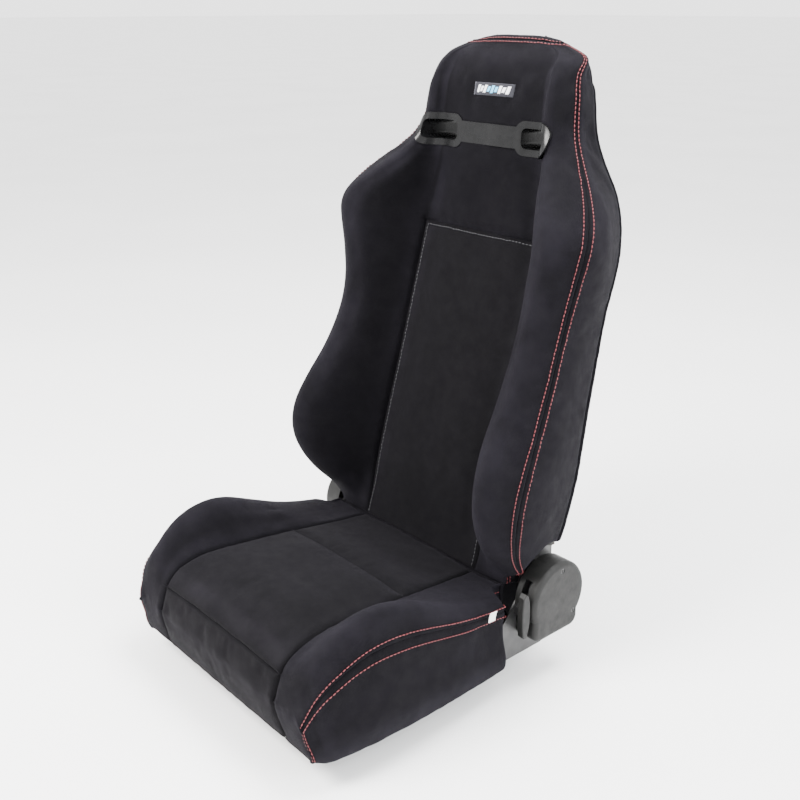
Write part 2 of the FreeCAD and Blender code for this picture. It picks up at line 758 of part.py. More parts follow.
def make_recliners():
    nodes = {"recliner_cover_screws": cover_screws()}
    for name, side in (("left", 1), ("right", -1)):
        moving = disc(ARM_INNER_X + PLATE_THICKNESS, 220.4, 38, 1.5)
        fixed = disc(220.7, SIDE_WALL_X, 38, 1.5)
        spring = power_spring()
        if side < 0:
            moving, fixed, spring = mirror(moving), mirror(fixed), mirror(spring)
        nodes["recliner_moving_disc_" + name] = moving
        nodes["recliner_fixed_disc_" + name] = fixed
        nodes["recliner_spring_" + name] = spring
        nodes["recliner_cover_" + name] = recliner_cover(side)
    return nodes


# ---- recline release ----------------------------------------------------------------------
SHAFT_END_RIGHT = -240.0
SHAFT_END_LEFT = 252.0


def cross_shaft():
    """Shaft that joins the two recliners, grooved for its end clips."""
    shaft = rod_x(SHAFT_END_RIGHT, SHAFT_END_LEFT, HINGE_Y, HINGE_Z, SHAFT_RADIUS)
    for x in (SHAFT_END_RIGHT + 2, SHAFT_END_LEFT - 3.2):
        ring = rod_x(x, x + 1.2, HINGE_Y, HINGE_Z, SHAFT_RADIUS + 1)
        shaft = shaft.cut(ring.cut(rod_x(x, x + 1.2, HINGE_Y, HINGE_Z, 3.6)))
    return shaft


def shaft_clips():
    """Spring clips in the shaft's grooves."""
    clips = []
    for x in (SHAFT_END_RIGHT + 2, SHAFT_END_LEFT - 3.2):
        ring = rod_x(x + 0.1, x + 1.1, HINGE_Y, HINGE_Z, 8)
        ring = ring.cut(rod_x(x, x + 1.2, HINGE_Y, HINGE_Z, 3.65))
        clips.append(ring.cut(box(x, x + 1.2, HINGE_Y - 2, HINGE_Y + 2, HINGE_Z, HINGE_Z + 10)))
    return Part.makeCompound(clips)


def recline_lever():
    """Pressed arm from the shaft, out through the cover's front slot."""
    x0 = LEVER_PLANE_X
    x1 = x0 + 5
    arm = Part.makePolygon([Vector(x0, HINGE_Y, HINGE_Z + 9), Vector(x0, HINGE_Y - 78, HINGE_Z + 6),
                            Vector(x0, HINGE_Y - 78, HINGE_Z - 8), Vector(x0, HINGE_Y, HINGE_Z - 9),
                            Vector(x0, HINGE_Y, HINGE_Z + 9)])
    arm = Part.Face(arm).extrude(Vector(5, 0, 0))
    tongue = box(x0, x0 + 20, HINGE_Y - 78, HINGE_Y - 75, HINGE_Z - 8, HINGE_Z + 6)
    lever = fuse_all([arm, rod_x(x0, x1, HINGE_Y, HINGE_Z, 12), tongue])
    return lever.cut(rod_x(x0 - 1, x1 + 1, HINGE_Y, HINGE_Z, SHAFT_RADIUS + 0.02))


def lever_paddle():
    """Moulded finger paddle pressed over the lever's tongue."""
    outline = [(-80, -44), (-73, -46), (-68, -20), (-67.5, 0), (-69, 18), (-73, 32), (-79, 36),
               (-84, 30), (-85.5, 10), (-85, -20), (-83, -40), (-80, -44)]
    corners = [Vector(256, HINGE_Y + y, HINGE_Z + z) for y, z in outline]
    paddle = Part.Face(Part.makePolygon(corners)).extrude(Vector(12, 0, 0))
    paddle = paddle.makeFillet(2.0, [edge for edge in paddle.Edges
                                     if abs(edge.Vertexes[0].X - edge.Vertexes[1].X) < 0.1])
    return paddle.cut(box(240, 262.1, HINGE_Y - 78.1, HINGE_Y - 74.9, HINGE_Z - 8.1, HINGE_Z + 6.1))


def make_recline_release():
    return {
        "recliner_cross_shaft": cross_shaft(),
        "shaft_clips": shaft_clips(),
        "recline_lever": recline_lever(),
        "lever_paddle": lever_paddle(),
    }


# ---- slide release ------------------------------------------------------------------------
ARM_X = RAIL_X - 38
BAR_FRONT_Y = -182.0
BAR_FRONT_Z = 27.0


def release_bar():
    """Bent bar under the cushion front, pivoting in the lugs of the side members."""
    side = [Vector(LUG_X + 2.9, LUG_Y, LUG_Z), Vector(ARM_X, LUG_Y, LUG_Z),
            Vector(ARM_X, -140, LUG_Z), Vector(ARM_X, BAR_FRONT_Y, BAR_FRONT_Z)]
    points = side + [Vector(-p.x, p.y, p.z) for p in reversed(side)]
    return bar(points, 5.2, BAR_RADIUS)


def bar_grip():
    """Moulded sleeve on the middle of the bar."""
    sleeve = rod_x(-70, 70, BAR_FRONT_Y, BAR_FRONT_Z, 8)
    ends = [edge for edge in sleeve.Edges if edge.Closed]
    sleeve = sleeve.makeFillet(2.4, ends)
    return sleeve.cut(rod_x(-71, 71, BAR_FRONT_Y, BAR_FRONT_Z, BAR_RADIUS + 0.02))


def latch(side):
    """Comb under a bar arm whose teeth stand over the notches of the lower rail."""
    outer = RAIL_X - 14.5
    plate = box(RAIL_X - 43, outer, -88, -45, LUG_Z - BAR_RADIUS - 3, LUG_Z - BAR_RADIUS)
    teeth = [box(outer - 8.5, outer, y + 1, y + 6, 22.6, 25) for y in (-80, -68, -56)]
    comb = fuse_all([plate] + teeth)
    return comb if side > 0 else mirror(comb)


def return_spring(side):
    """Bent wire under the front cross tube that stands over a bar arm."""
    y, z = FRONT_TUBE
    points = [Vector(ARM_X + 14, y + 16, z - 6), Vector(ARM_X + 14, y + 16, z + 14.6),
              Vector(ARM_X + 14, y - 16, z + 14.6), Vector(ARM_X + 14, y - 16, z - 12)]
    wire = bar(points, 6, 1.3)
    return wire if side > 0 else mirror(wire)


def make_slide_release():
    return {
        "slide_release_bar": release_bar(),
        "slide_release_grip": bar_grip(),
        "slide_latch_left": latch(1),
        "slide_latch_right": latch(-1),
        "release_spring_left": return_spring(1),
        "release_spring_right": return_spring(-1),
    }


# ---- backrest frame -----------------------------------------------------------------------
LEG_X = 195.0
LEG_RADIUS = 11.0
LEG_WALL = 1.8
ARM_BOLTS = (130.0, 185.0)    # distances along the profile
ARM_TOP = 190.0
BACK_SPRINGS = (215.0, 300.0, 390.0, 480.0)


def leg_route():
    """Half of the backrest hoop, from its lower end to the middle of its top."""
    side = [(LEG_X, 88), (LEG_X, 205), (LEG_X, 340), (LEG_X - 3, 470), (LEG_X - 3, 562),
            (120, 650)]
    return [on_back(u, s, FRAME_DEPTH) for u, s in side]


def backrest_frame():
    half = leg_route()
    points = half + [Vector(-p.x, p.y, p.z) for p in reversed(half)]
    hoop = tube(points, 45, LEG_RADIUS, LEG_WALL)
    for s in ARM_BOLTS:
        at = on_back(0, s, FRAME_DEPTH)
        hoop = hoop.cut(rod_x(-230, 230, at.y, at.z, BOLT_RADIUS + BOLT_CLEARANCE))
    return hoop


def headrest_rod_route():
    half = [(52, 663.5), (52, 700), (46, 790), (46, 846)]
    side = [on_back(u, s, -43) for u, s in half]
    return side + [Vector(-p.x, p.y, p.z) for p in reversed(side)]


def arm_plate(x0, x1, low_radius, high_radius):
    """Tapered plate with round ends at the hinge and near the second arm bolt."""
    top = on_back(0, ARM_TOP, FRAME_DEPTH)
    lower = rod_x(x0, x1, HINGE_Y, HINGE_Z, low_radius)
    upper = rod_x(x0, x1, top.y, top.z, high_radius)
    along = Vector(0, top.y - HINGE_Y, top.z - HINGE_Z)
    across = Vector(0, -along.z, along.y).normalize()
    lean = math.asin((low_radius - high_radius) / along.Length)
    direction = Vector(along).normalize()
    offset_a = across * math.cos(lean) + direction * math.sin(lean)
    offset_b = across * -math.cos(lean) + direction * math.sin(lean)
    hinge = Vector(x0, HINGE_Y, HINGE_Z)
    end = Vector(x0, top.y, top.z)
    corners = [hinge + offset_a * low_radius, end + offset_a * high_radius,
               end + offset_b * high_radius, hinge + offset_b * low_radius,
               hinge + offset_a * low_radius]
    web = Part.Face(Part.makePolygon(corners)).extrude(Vector(x1 - x0, 0, 0))
    return fuse_all([lower, upper, web])


def arm_pockets():
    """Room for both arms in the foam and the cover."""
    pocket = arm_plate(ARM_INNER_X - 1, ARM_INNER_X + PLATE_THICKNESS + 1, 41, 23)
    return [pocket, mirror(pocket)]


def backrest_arm(side):
    """Plate from the recliner up to the hoop leg."""
    x0 = ARM_INNER_X
    arm = arm_plate(x0, x0 + PLATE_THICKNESS, 40, 22)
    arm = arm.cut(rod_x(x0 - 1, x0 + 5, HINGE_Y, HINGE_Z, SHAFT_RADIUS + BOLT_CLEARANCE))
    for s in ARM_BOLTS:
        at = on_back(0, s, FRAME_DEPTH)
        arm = arm.cut(rod_x(x0 - 1, x0 + 5, at.y, at.z, BOLT_RADIUS + BOLT_CLEARANCE))
    return arm if side > 0 else mirror(arm)


def arm_bolts():
    bolts = []
    for s in ARM_BOLTS:
        at = on_back(0, s, FRAME_DEPTH)
        shank = rod_x(178, ARM_INNER_X + PLATE_THICKNESS, at.y, at.z, BOLT_RADIUS)
        head = hex_prism(Vector(ARM_INNER_X + PLATE_THICKNESS, at.y, at.z), Vector(1, 0, 0), 13, 5)
        bolt = fuse_all([shank, head])
        bolts.append(bolt)
        bolts.append(mirror(bolt))
    return Part.makeCompound(bolts)


def arm_spacers():
    spacers = []
    for s in ARM_BOLTS:
        at = on_back(0, s, FRAME_DEPTH)
        spacer = rod_x(LEG_X + LEG_RADIUS + 0.1, ARM_INNER_X, at.y, at.z, 8)
        spacer = spacer.cut(rod_x(200, 220, at.y, at.z, BOLT_RADIUS + BOLT_CLEARANCE))
        spacers.append(spacer)
        spacers.append(mirror(spacer))
    return Part.makeCompound(spacers)


def lower_back_tube():
    """Tube between the two legs, above the recliners."""
    at = on_back(0, 108, FRAME_DEPTH)
    reach = LEG_X - LEG_RADIUS - 0.1
    outer = rod_x(-reach, reach, at.y, at.z, 9)
    return outer.cut(rod_x(-reach, reach, at.y, at.z, 7.4))


def back_springs():
    """Sinuous springs between the hoop's legs."""
    springs = []
    reach = LEG_X - LEG_RADIUS - 3.2
    for s in BACK_SPRINGS:
        point, up, forward = profile_axes(s)
        start = point + forward * FRAME_DEPTH + Vector(-reach, 0, 0)
        points = zigzag(start, Vector(1, 0, 0), up, 2 * reach, 16, 22)
        springs.append(bar(points, 9, SPRING_WIRE))
    return Part.makeCompound(springs)


def make_backrest_frame():
    return {
        "backrest_frame": backrest_frame(),
        "headrest_rod": bar(headrest_rod_route(), 16, 6),
        "lower_back_tube": lower_back_tube(),
        "backrest_arm_left": backrest_arm(1),
        "backrest_arm_right": backrest_arm(-1),
        "arm_bolts": arm_bolts(),
        "arm_spacers": arm_spacers(),
        "backrest_springs": back_springs(),
    }


# ---- output -------------------------------------------------------------------------------
def make_all():
    nodes = {}
    nodes.update(make_sliders())
    nodes.update(make_seat_frame())
    nodes.update(make_recliners())
    nodes.update(make_recline_release())
    nodes.update(make_slide_release())
    nodes.update(make_backrest_frame())
    nodes.update(make_cushion())
    nodes.update(make_backrest_soft())
    nodes.update(make_bezels())
    for shape in nodes.values():
        shape.translate(Vector(0, -RAIL_Y, 0))
    return nodes


def main():
    os.makedirs("parts", exist_ok=True)
    for name, shape in sorted(make_all().items()):
        shape.exportStep("parts/" + name + ".step")
        solids = len(shape.Solids)
        print(f"{name:30s} solids {solids:3d}  volume {shape.Volume:12.0f}  valid {shape.isValid()}")


main()
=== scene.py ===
"""Looks of a reclining sports seat: sewn covers, foam, stitching and finishes on its frame."""

import json
import math

import bmesh
import bpy
import numpy as np
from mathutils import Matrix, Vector, kdtree, noise
from mathutils.bvhtree import BVHTree

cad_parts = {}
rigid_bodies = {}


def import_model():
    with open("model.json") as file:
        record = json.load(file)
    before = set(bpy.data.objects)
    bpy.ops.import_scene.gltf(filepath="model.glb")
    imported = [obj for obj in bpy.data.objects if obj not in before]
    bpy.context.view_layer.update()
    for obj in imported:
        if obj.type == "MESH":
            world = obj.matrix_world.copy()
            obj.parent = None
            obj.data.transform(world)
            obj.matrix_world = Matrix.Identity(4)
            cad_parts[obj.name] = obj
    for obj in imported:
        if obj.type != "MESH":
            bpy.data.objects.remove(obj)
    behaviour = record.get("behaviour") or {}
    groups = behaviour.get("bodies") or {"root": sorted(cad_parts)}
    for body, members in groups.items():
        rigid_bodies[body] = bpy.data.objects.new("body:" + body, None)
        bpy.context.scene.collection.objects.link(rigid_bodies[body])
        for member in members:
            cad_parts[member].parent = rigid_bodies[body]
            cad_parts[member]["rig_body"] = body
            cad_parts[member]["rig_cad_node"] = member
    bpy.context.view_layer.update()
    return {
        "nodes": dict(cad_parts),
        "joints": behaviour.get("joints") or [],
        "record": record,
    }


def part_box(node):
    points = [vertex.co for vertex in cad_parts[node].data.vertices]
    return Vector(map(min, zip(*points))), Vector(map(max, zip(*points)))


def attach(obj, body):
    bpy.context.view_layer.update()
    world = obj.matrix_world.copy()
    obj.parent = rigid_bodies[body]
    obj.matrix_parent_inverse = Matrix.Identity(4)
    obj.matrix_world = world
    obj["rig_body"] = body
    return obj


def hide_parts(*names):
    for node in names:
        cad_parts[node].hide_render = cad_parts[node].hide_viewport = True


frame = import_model()

MM = 0.001
ORIGIN_Y = 45.0               # row origin behind the middle of the cushion, in mm
CELL = 7.0                    # size of a panel's cells before they are subdivided, in mm
EDGE_STEPS = (0.0, 0.4, 1.1, 2.2, 3.8, 6.0)   # rows beside a seam, in mm from it
STITCH_STEP = 5               # which of those rows the stitches follow
COVER_THICKNESS = 1.8         # of the cloth, in mm

# The front centre line of the backrest, from its lower end to its top: (y, z).
PROFILE = (
    (178, 120), (196, 190), (230, 330), (268, 470), (305, 600), (330, 690),
    (340, 760), (344, 840), (350, 915), (364, 965), (390, 990),
)
CROWN_START = 850.0           # sections above this stay parallel

# Backrest stations along the profile: distance, half width of the flat insert, crest half
# width, crest height, seam half width, drop to the seam, rear half width, depth.
BACK_STATIONS = (
    (42, 139, 198, 0, 226, 12, 216, 84),
    (65, 139, 207, 14, 238, 18, 226, 88),
    (95, 138, 216, 58, 249, 30, 232, 90),
    (135, 138, 226, 104, 260, 46, 238, 90),
    (190, 137, 232, 134, 268, 58, 242, 90),
    (245, 136, 228, 134, 268, 58, 242, 90),
    (310, 135, 217, 112, 261, 48, 238, 88),
    (380, 135, 209, 92, 254, 40, 234, 86),
    (450, 136, 209, 88, 253, 38, 232, 82),
    (520, 137, 218, 102, 262, 42, 232, 78),
    (580, 137, 226, 116, 273, 46, 234, 76),
    (630, 130, 218, 112, 269, 46, 228, 74),
    (675, 120, 190, 82, 240, 40, 210, 74),
    (712, 113, 160, 46, 203, 32, 186, 74),
    (750, 108, 140, 23, 174, 28, 168, 73),
    (810, 105, 133, 16, 162, 27, 156, 72),
    (858, 102, 127, 8, 153, 26, 146, 64),
    (886, 90, 112, -2, 139, 18, 128, 46),
    (904, 56, 72, -3, 98, 5, 84, 36),
)
BACK_LOW = 42.0
BACK_TOP = 904.0
INSERT_TOP = 587.0            # cross seam above the insert, along the profile
CROWN_BULGE = 15.0            # how far the cap over the headrest rises

# Cushion stations from front to rear: y, half width of the insert, its height, crest half
# width and height, seam half width and height. Heights are above the cushion's underside.
CUSHION_STATIONS = (
    (-232, 158, 72, 204, 80, 226, 62),
    (-220, 158, 108, 210, 116, 236, 94),
    (-195, 158, 138, 218, 158, 245, 124),
    (-150, 156, 150, 226, 190, 252, 148),
    (-80, 152, 148, 231, 202, 257, 155),
    (-10, 148, 142, 233, 180, 257, 142),
    (60, 144, 134, 233, 150, 255, 124),
    (130, 140, 126, 230, 132, 252, 112),
    (190, 138, 120, 226, 122, 246, 104),
)
CUSHION_FRONT = -232.0
CUSHION_REAR = 184.0
ROLL_SEAM = -218.0            # seam between the cushion's top and its front face
CROSS_SEAM = 28.0             # seam across the cushion's insert
UNDERSIDE = 42.0              # height of the cushion's underside above the floor
UNDERCUT_TOP = 108.0          # the front face slopes back below this height
UNDERCUT_SLOPE = 0.25
RECLINER_X = 207.0            # covers stay inside this beside the recliners
SWEEP_RADIUS = 69.0           # the backrest's covers clear the recliners within this
REAR_FACE_INSIDE = (0, 100, 90)   # a point inside the cushion, ahead of its rear face

SLOT_AT = 745.0               # harness slots: distance along the profile, half spacing
SLOT_X = 103.0
SLOT_HALF = (34.0, 19.0)
BEZEL_HEIGHT = 757.0          # middle of the slot trim above the floor

# Positions round a closed section, counted in keys from the middle of its front.
INSERT_KEY = 2
SEAM_KEY = 5
REAR_KEY = 7
REAR_KEY_ROUND = 13           # the backrest's other rear key, reached round the back

HINGE = Vector(next(j for j in frame["joints"] if j["name"] == "recline")["pos_m"]) / MM
HINGE_Y = HINGE.y + ORIGIN_Y
HINGE_Z = HINGE.z


# ---- curves -------------------------------------------------------------------------------
def spline(x, y, at):
    """Natural cubic spline through the rows of y at x, read at each value in at."""
    x, y, at = (np.asarray(v, float) for v in (x, y, at))
    count = len(x)
    h = np.diff(x)
    system = np.eye(count)
    wanted = np.zeros(y.shape)
    for i in range(1, count - 1):
        system[i, i - 1 : i + 2] = h[i - 1], 2 * (h[i - 1] + h[i]), h[i]
        wanted[i] = 6 * ((y[i + 1] - y[i]) / h[i] - (y[i] - y[i - 1]) / h[i - 1])
    bend = np.linalg.solve(system, wanted)
    i = np.clip(np.searchsorted(x, at) - 1, 0, count - 2)
    span = h[i][:, None]
    b = (at - x[i])[:, None] / span
    a = 1 - b
    curved = ((a**3 - a) * bend[i] + (b**3 - b) * bend[i + 1]) * span**2 / 6
    return a * y[i] + b * y[i + 1] + curved


def loop_at(keys, k):
    """Smooth closed curves through keys (n, points, 2), read at positions k (n, m)."""
    count = keys.shape[1]
    eye = np.eye(count)
    system = 4 * eye + np.roll(eye, 1, 0) + np.roll(eye, -1, 0)
    wanted = 6 * (np.roll(keys, 1, 1) - 2 * keys + np.roll(keys, -1, 1))
    bend = np.einsum("ij,njd->nid", np.linalg.inv(system), wanted)
    first = np.floor(k).astype(int)
    b = (k - first)[..., None]
    a = 1 - b
    row = np.arange(len(keys))[:, None]
    i, j = first % count, (first + 1) % count
    curved = ((a**3 - a) * bend[row, i] + (b**3 - b) * bend[row, j]) / 6
    return a * keys[row, i] + b * keys[row, j] + curved


def whole_loop(half):
    """Right halves of sections (n, points, 2) made into closed loops."""
    mirrored = half[:, -2:0:-1] * (-1, 1)
    return np.concatenate([half, mirrored], 1)


def reach_of(line):
    """Distance of each point of a line from the line's start."""
    return np.r_[0, np.cumsum(np.linalg.norm(np.diff(line, axis=0), axis=1))]


def read_line(at, reach, line):
    """Points of a line at distances from its start."""
    return np.stack([np.interp(at, reach, line[:, i]) for i in range(3)], 1)


def make_profile():
    """Distance, place and direction along the backrest's centre line."""
    points = np.array(PROFILE, float)
    chord = reach_of(points)
    fine = spline(chord, points, np.linspace(0, chord[-1], 2000))
    distance = reach_of(fine)
    tangent = np.gradient(fine, axis=0)
    tangent /= np.linalg.norm(tangent, axis=1)[:, None]
    return distance, fine, tangent


PROFILE_LINE = make_profile()


def on_back(u, s, d):
    """Points u to the side, s along the profile and d in front of it, in mm."""
    distance, place, tangent = PROFILE_LINE
    turn = np.minimum(s, CROWN_START)
    up_y, up_z = (np.interp(turn, distance, tangent[:, i]) for i in (0, 1))
    y, z = (np.interp(s, distance, place[:, i]) for i in (0, 1))
    return np.stack([u + 0 * s, y - up_z * d, z + up_y * d], -1)


def back_keys(s):
    columns = spline([row[0] for row in BACK_STATIONS], [row[1:] for row in BACK_STATIONS], s)
    insert, crest, rise, seam, drop, rear, depth = columns.T
    side = rise - drop
    zero = 0 * insert
    half = [
        (zero, zero + 4), (0.6 * insert, zero + 3), (insert, zero),
        (insert + 0.45 * (crest - insert), 0.55 * rise), (crest, rise), (seam, side),
        (seam + 0.3 * (rear - seam) + 2, 0.4 * side - 0.4 * depth),
        (rear, 10 - depth), (rear - 16, -depth), (0.5 * rear, -depth - 3), (zero, -depth - 4),
    ]
    return whole_loop(np.array(half).transpose(2, 0, 1))


def back_points(s, k):
    """Surface points of the backrest at distances s (n) and loop positions k (n, m)."""
    section = loop_at(back_keys(s), k)
    return on_back(section[..., 0], s[:, None] + 0 * k, section[..., 1])


def cushion_keys(y):
    rows = CUSHION_STATIONS
    columns = spline([row[0] for row in rows], [row[1:] for row in rows], y)
    insert, top, crest, crest_top, seam, seam_top = columns.T
    zero = 0 * insert
    half = [
        (zero, top + 4), (0.6 * insert, top + 3), (insert, top),
        (insert + 0.45 * (crest - insert), top + 0.55 * (crest_top - top)),
        (crest, crest_top), (seam, seam_top), (seam + 3, 0.5 * seam_top),
        (seam - 2, zero), (0.5 * seam, zero - 10), (zero, zero - 10),
    ]
    return whole_loop(np.array(half).transpose(2, 0, 1))


def cushion_points(y, k):
    """Surface points of the cushion at distances y (n) and loop positions k (n, m)."""
    section = loop_at(cushion_keys(y), k)
    return np.stack([section[..., 0], y[:, None] + 0 * k, UNDERSIDE + section[..., 1]], -1)


# ---- grids --------------------------------------------------------------------------------
def spread(length):
    """Fractions of a length, close together beside both ends."""
    inner = length - 2 * EDGE_STEPS[-1]
    middle = np.linspace(EDGE_STEPS[-1], length - EDGE_STEPS[-1], max(3, round(inner / CELL) + 1))
    steps = np.r_[EDGE_STEPS[:-1], middle, [length - e for e in EDGE_STEPS[-2::-1]]]
    return steps / length


def along(points, fractions, axis=1):
    """Points read again at fractions of the length of each line along an axis."""
    points = np.moveaxis(points, axis, 1)
    lengths = np.linalg.norm(np.diff(points, axis=1), axis=2)
    total = np.concatenate([np.zeros((len(points), 1)), np.cumsum(lengths, 1)], 1)
    out = np.empty((len(points), len(fractions), 3))
    for i, (line, reach) in enumerate(zip(points, total)):
        for axis_number in range(3):
            out[i, :, axis_number] = np.interp(fractions * reach[-1], reach, line[:, axis_number])
    return np.moveaxis(out, 1, axis)


def span_columns(surface, rows, start, end, fractions):
    """A surface's grid between two loop positions, evenly spaced along each row."""
    k = np.linspace(start, end, 161)[None, :] + 0 * rows[:, None]
    return along(surface(rows, k), fractions)


def front_grid(surface, rows, bolster, insert):
    """A body's front between its outer seams: a bolster, the insert and the other bolster."""
    spans = ((-SEAM_KEY, -INSERT_KEY, bolster), (-INSERT_KEY, INSERT_KEY, insert),
             (INSERT_KEY, SEAM_KEY, bolster))
    grids = [span_columns(surface, rows, *span) for span in spans]
    return np.concatenate([grids[0], grids[1][:, 1:], grids[2][:, 1:]], 1)


def normals(grid, inside):
    """Unit normals of a grid (rows, columns, 3) that point away from the inside points."""
    across = np.gradient(grid, axis=1)
    down = np.gradient(grid, axis=0)
    found = np.cross(across, down)
    length = np.linalg.norm(found, axis=2, keepdims=True)
    found /= np.maximum(length, 1e-9)
    if ((grid - inside) * found).sum() < 0:
        found = -found
    return found


class Seams:
    """Every sewn line of one body, and how far each point of a panel is from it."""

    def __init__(self):
        self.points = []
        self.sizes = []

    def add(self, line, depth, radius):
        reach = reach_of(line)
        at = np.linspace(0, reach[-1], max(2, int(reach[-1] / 1.5)))
        fine = read_line(at, reach, line)
        self.points.extend(fine)
        self.sizes.extend([(depth, radius)] * len(fine))

    def add_all(self, size, *lines):
        for line in lines:
            self.add(line, **size)

    def finish(self):
        self.tree = kdtree.KDTree(len(self.points))
        for i, point in enumerate(self.points):
            self.tree.insert(point, i)
        self.tree.balance()

    def near(self, grid):
        """Distance, groove depth, roll radius and nearest seam point for each grid point."""
        flat = grid.reshape(-1, 3)
        found = [self.tree.find(point) for point in flat]
        distance = np.array([f[2] for f in found]).reshape(grid.shape[:2])
        sizes = np.array([self.sizes[f[1]] for f in found]).reshape(grid.shape[:2] + (2,))
        place = np.array([tuple(f[0]) for f in found]).reshape(grid.shape)
        return distance, sizes[..., 0], sizes[..., 1], place


def smooth(t):
    t = np.clip(t, 0, 1)
    return t * t * (3 - 2 * t)


def rolled(distance, depth, radius):
    """How far a cover turns in beside a seam: a quarter round that ends at the radius."""
    t = np.clip(1 - distance / radius, 0, 1)
    return depth * (1 - np.sqrt(1 - 0.985 * t * t)) / (1 - math.sqrt(1 - 0.985))


def clear_recliner(points):
    """Backrest points moved inward where the fixed recliner covers need room."""
    r = np.hypot(points[..., 1] - HINGE_Y, points[..., 2] - HINGE_Z)
    share = smooth((SWEEP_RADIUS + 14 - r) / 14)
    return squeeze(points, share)


def clear_notch(points):
    """Cushion points moved inward beside the recliners."""
    return squeeze(points, smooth((points[..., 1] - 150) / 14))


def squeeze(points, share):
    x = points[..., 0]
    spare = np.maximum(np.abs(x) - RECLINER_X, 0)
    out = points.copy()
    out[..., 0] = x - np.sign(x) * spare * share
    return out


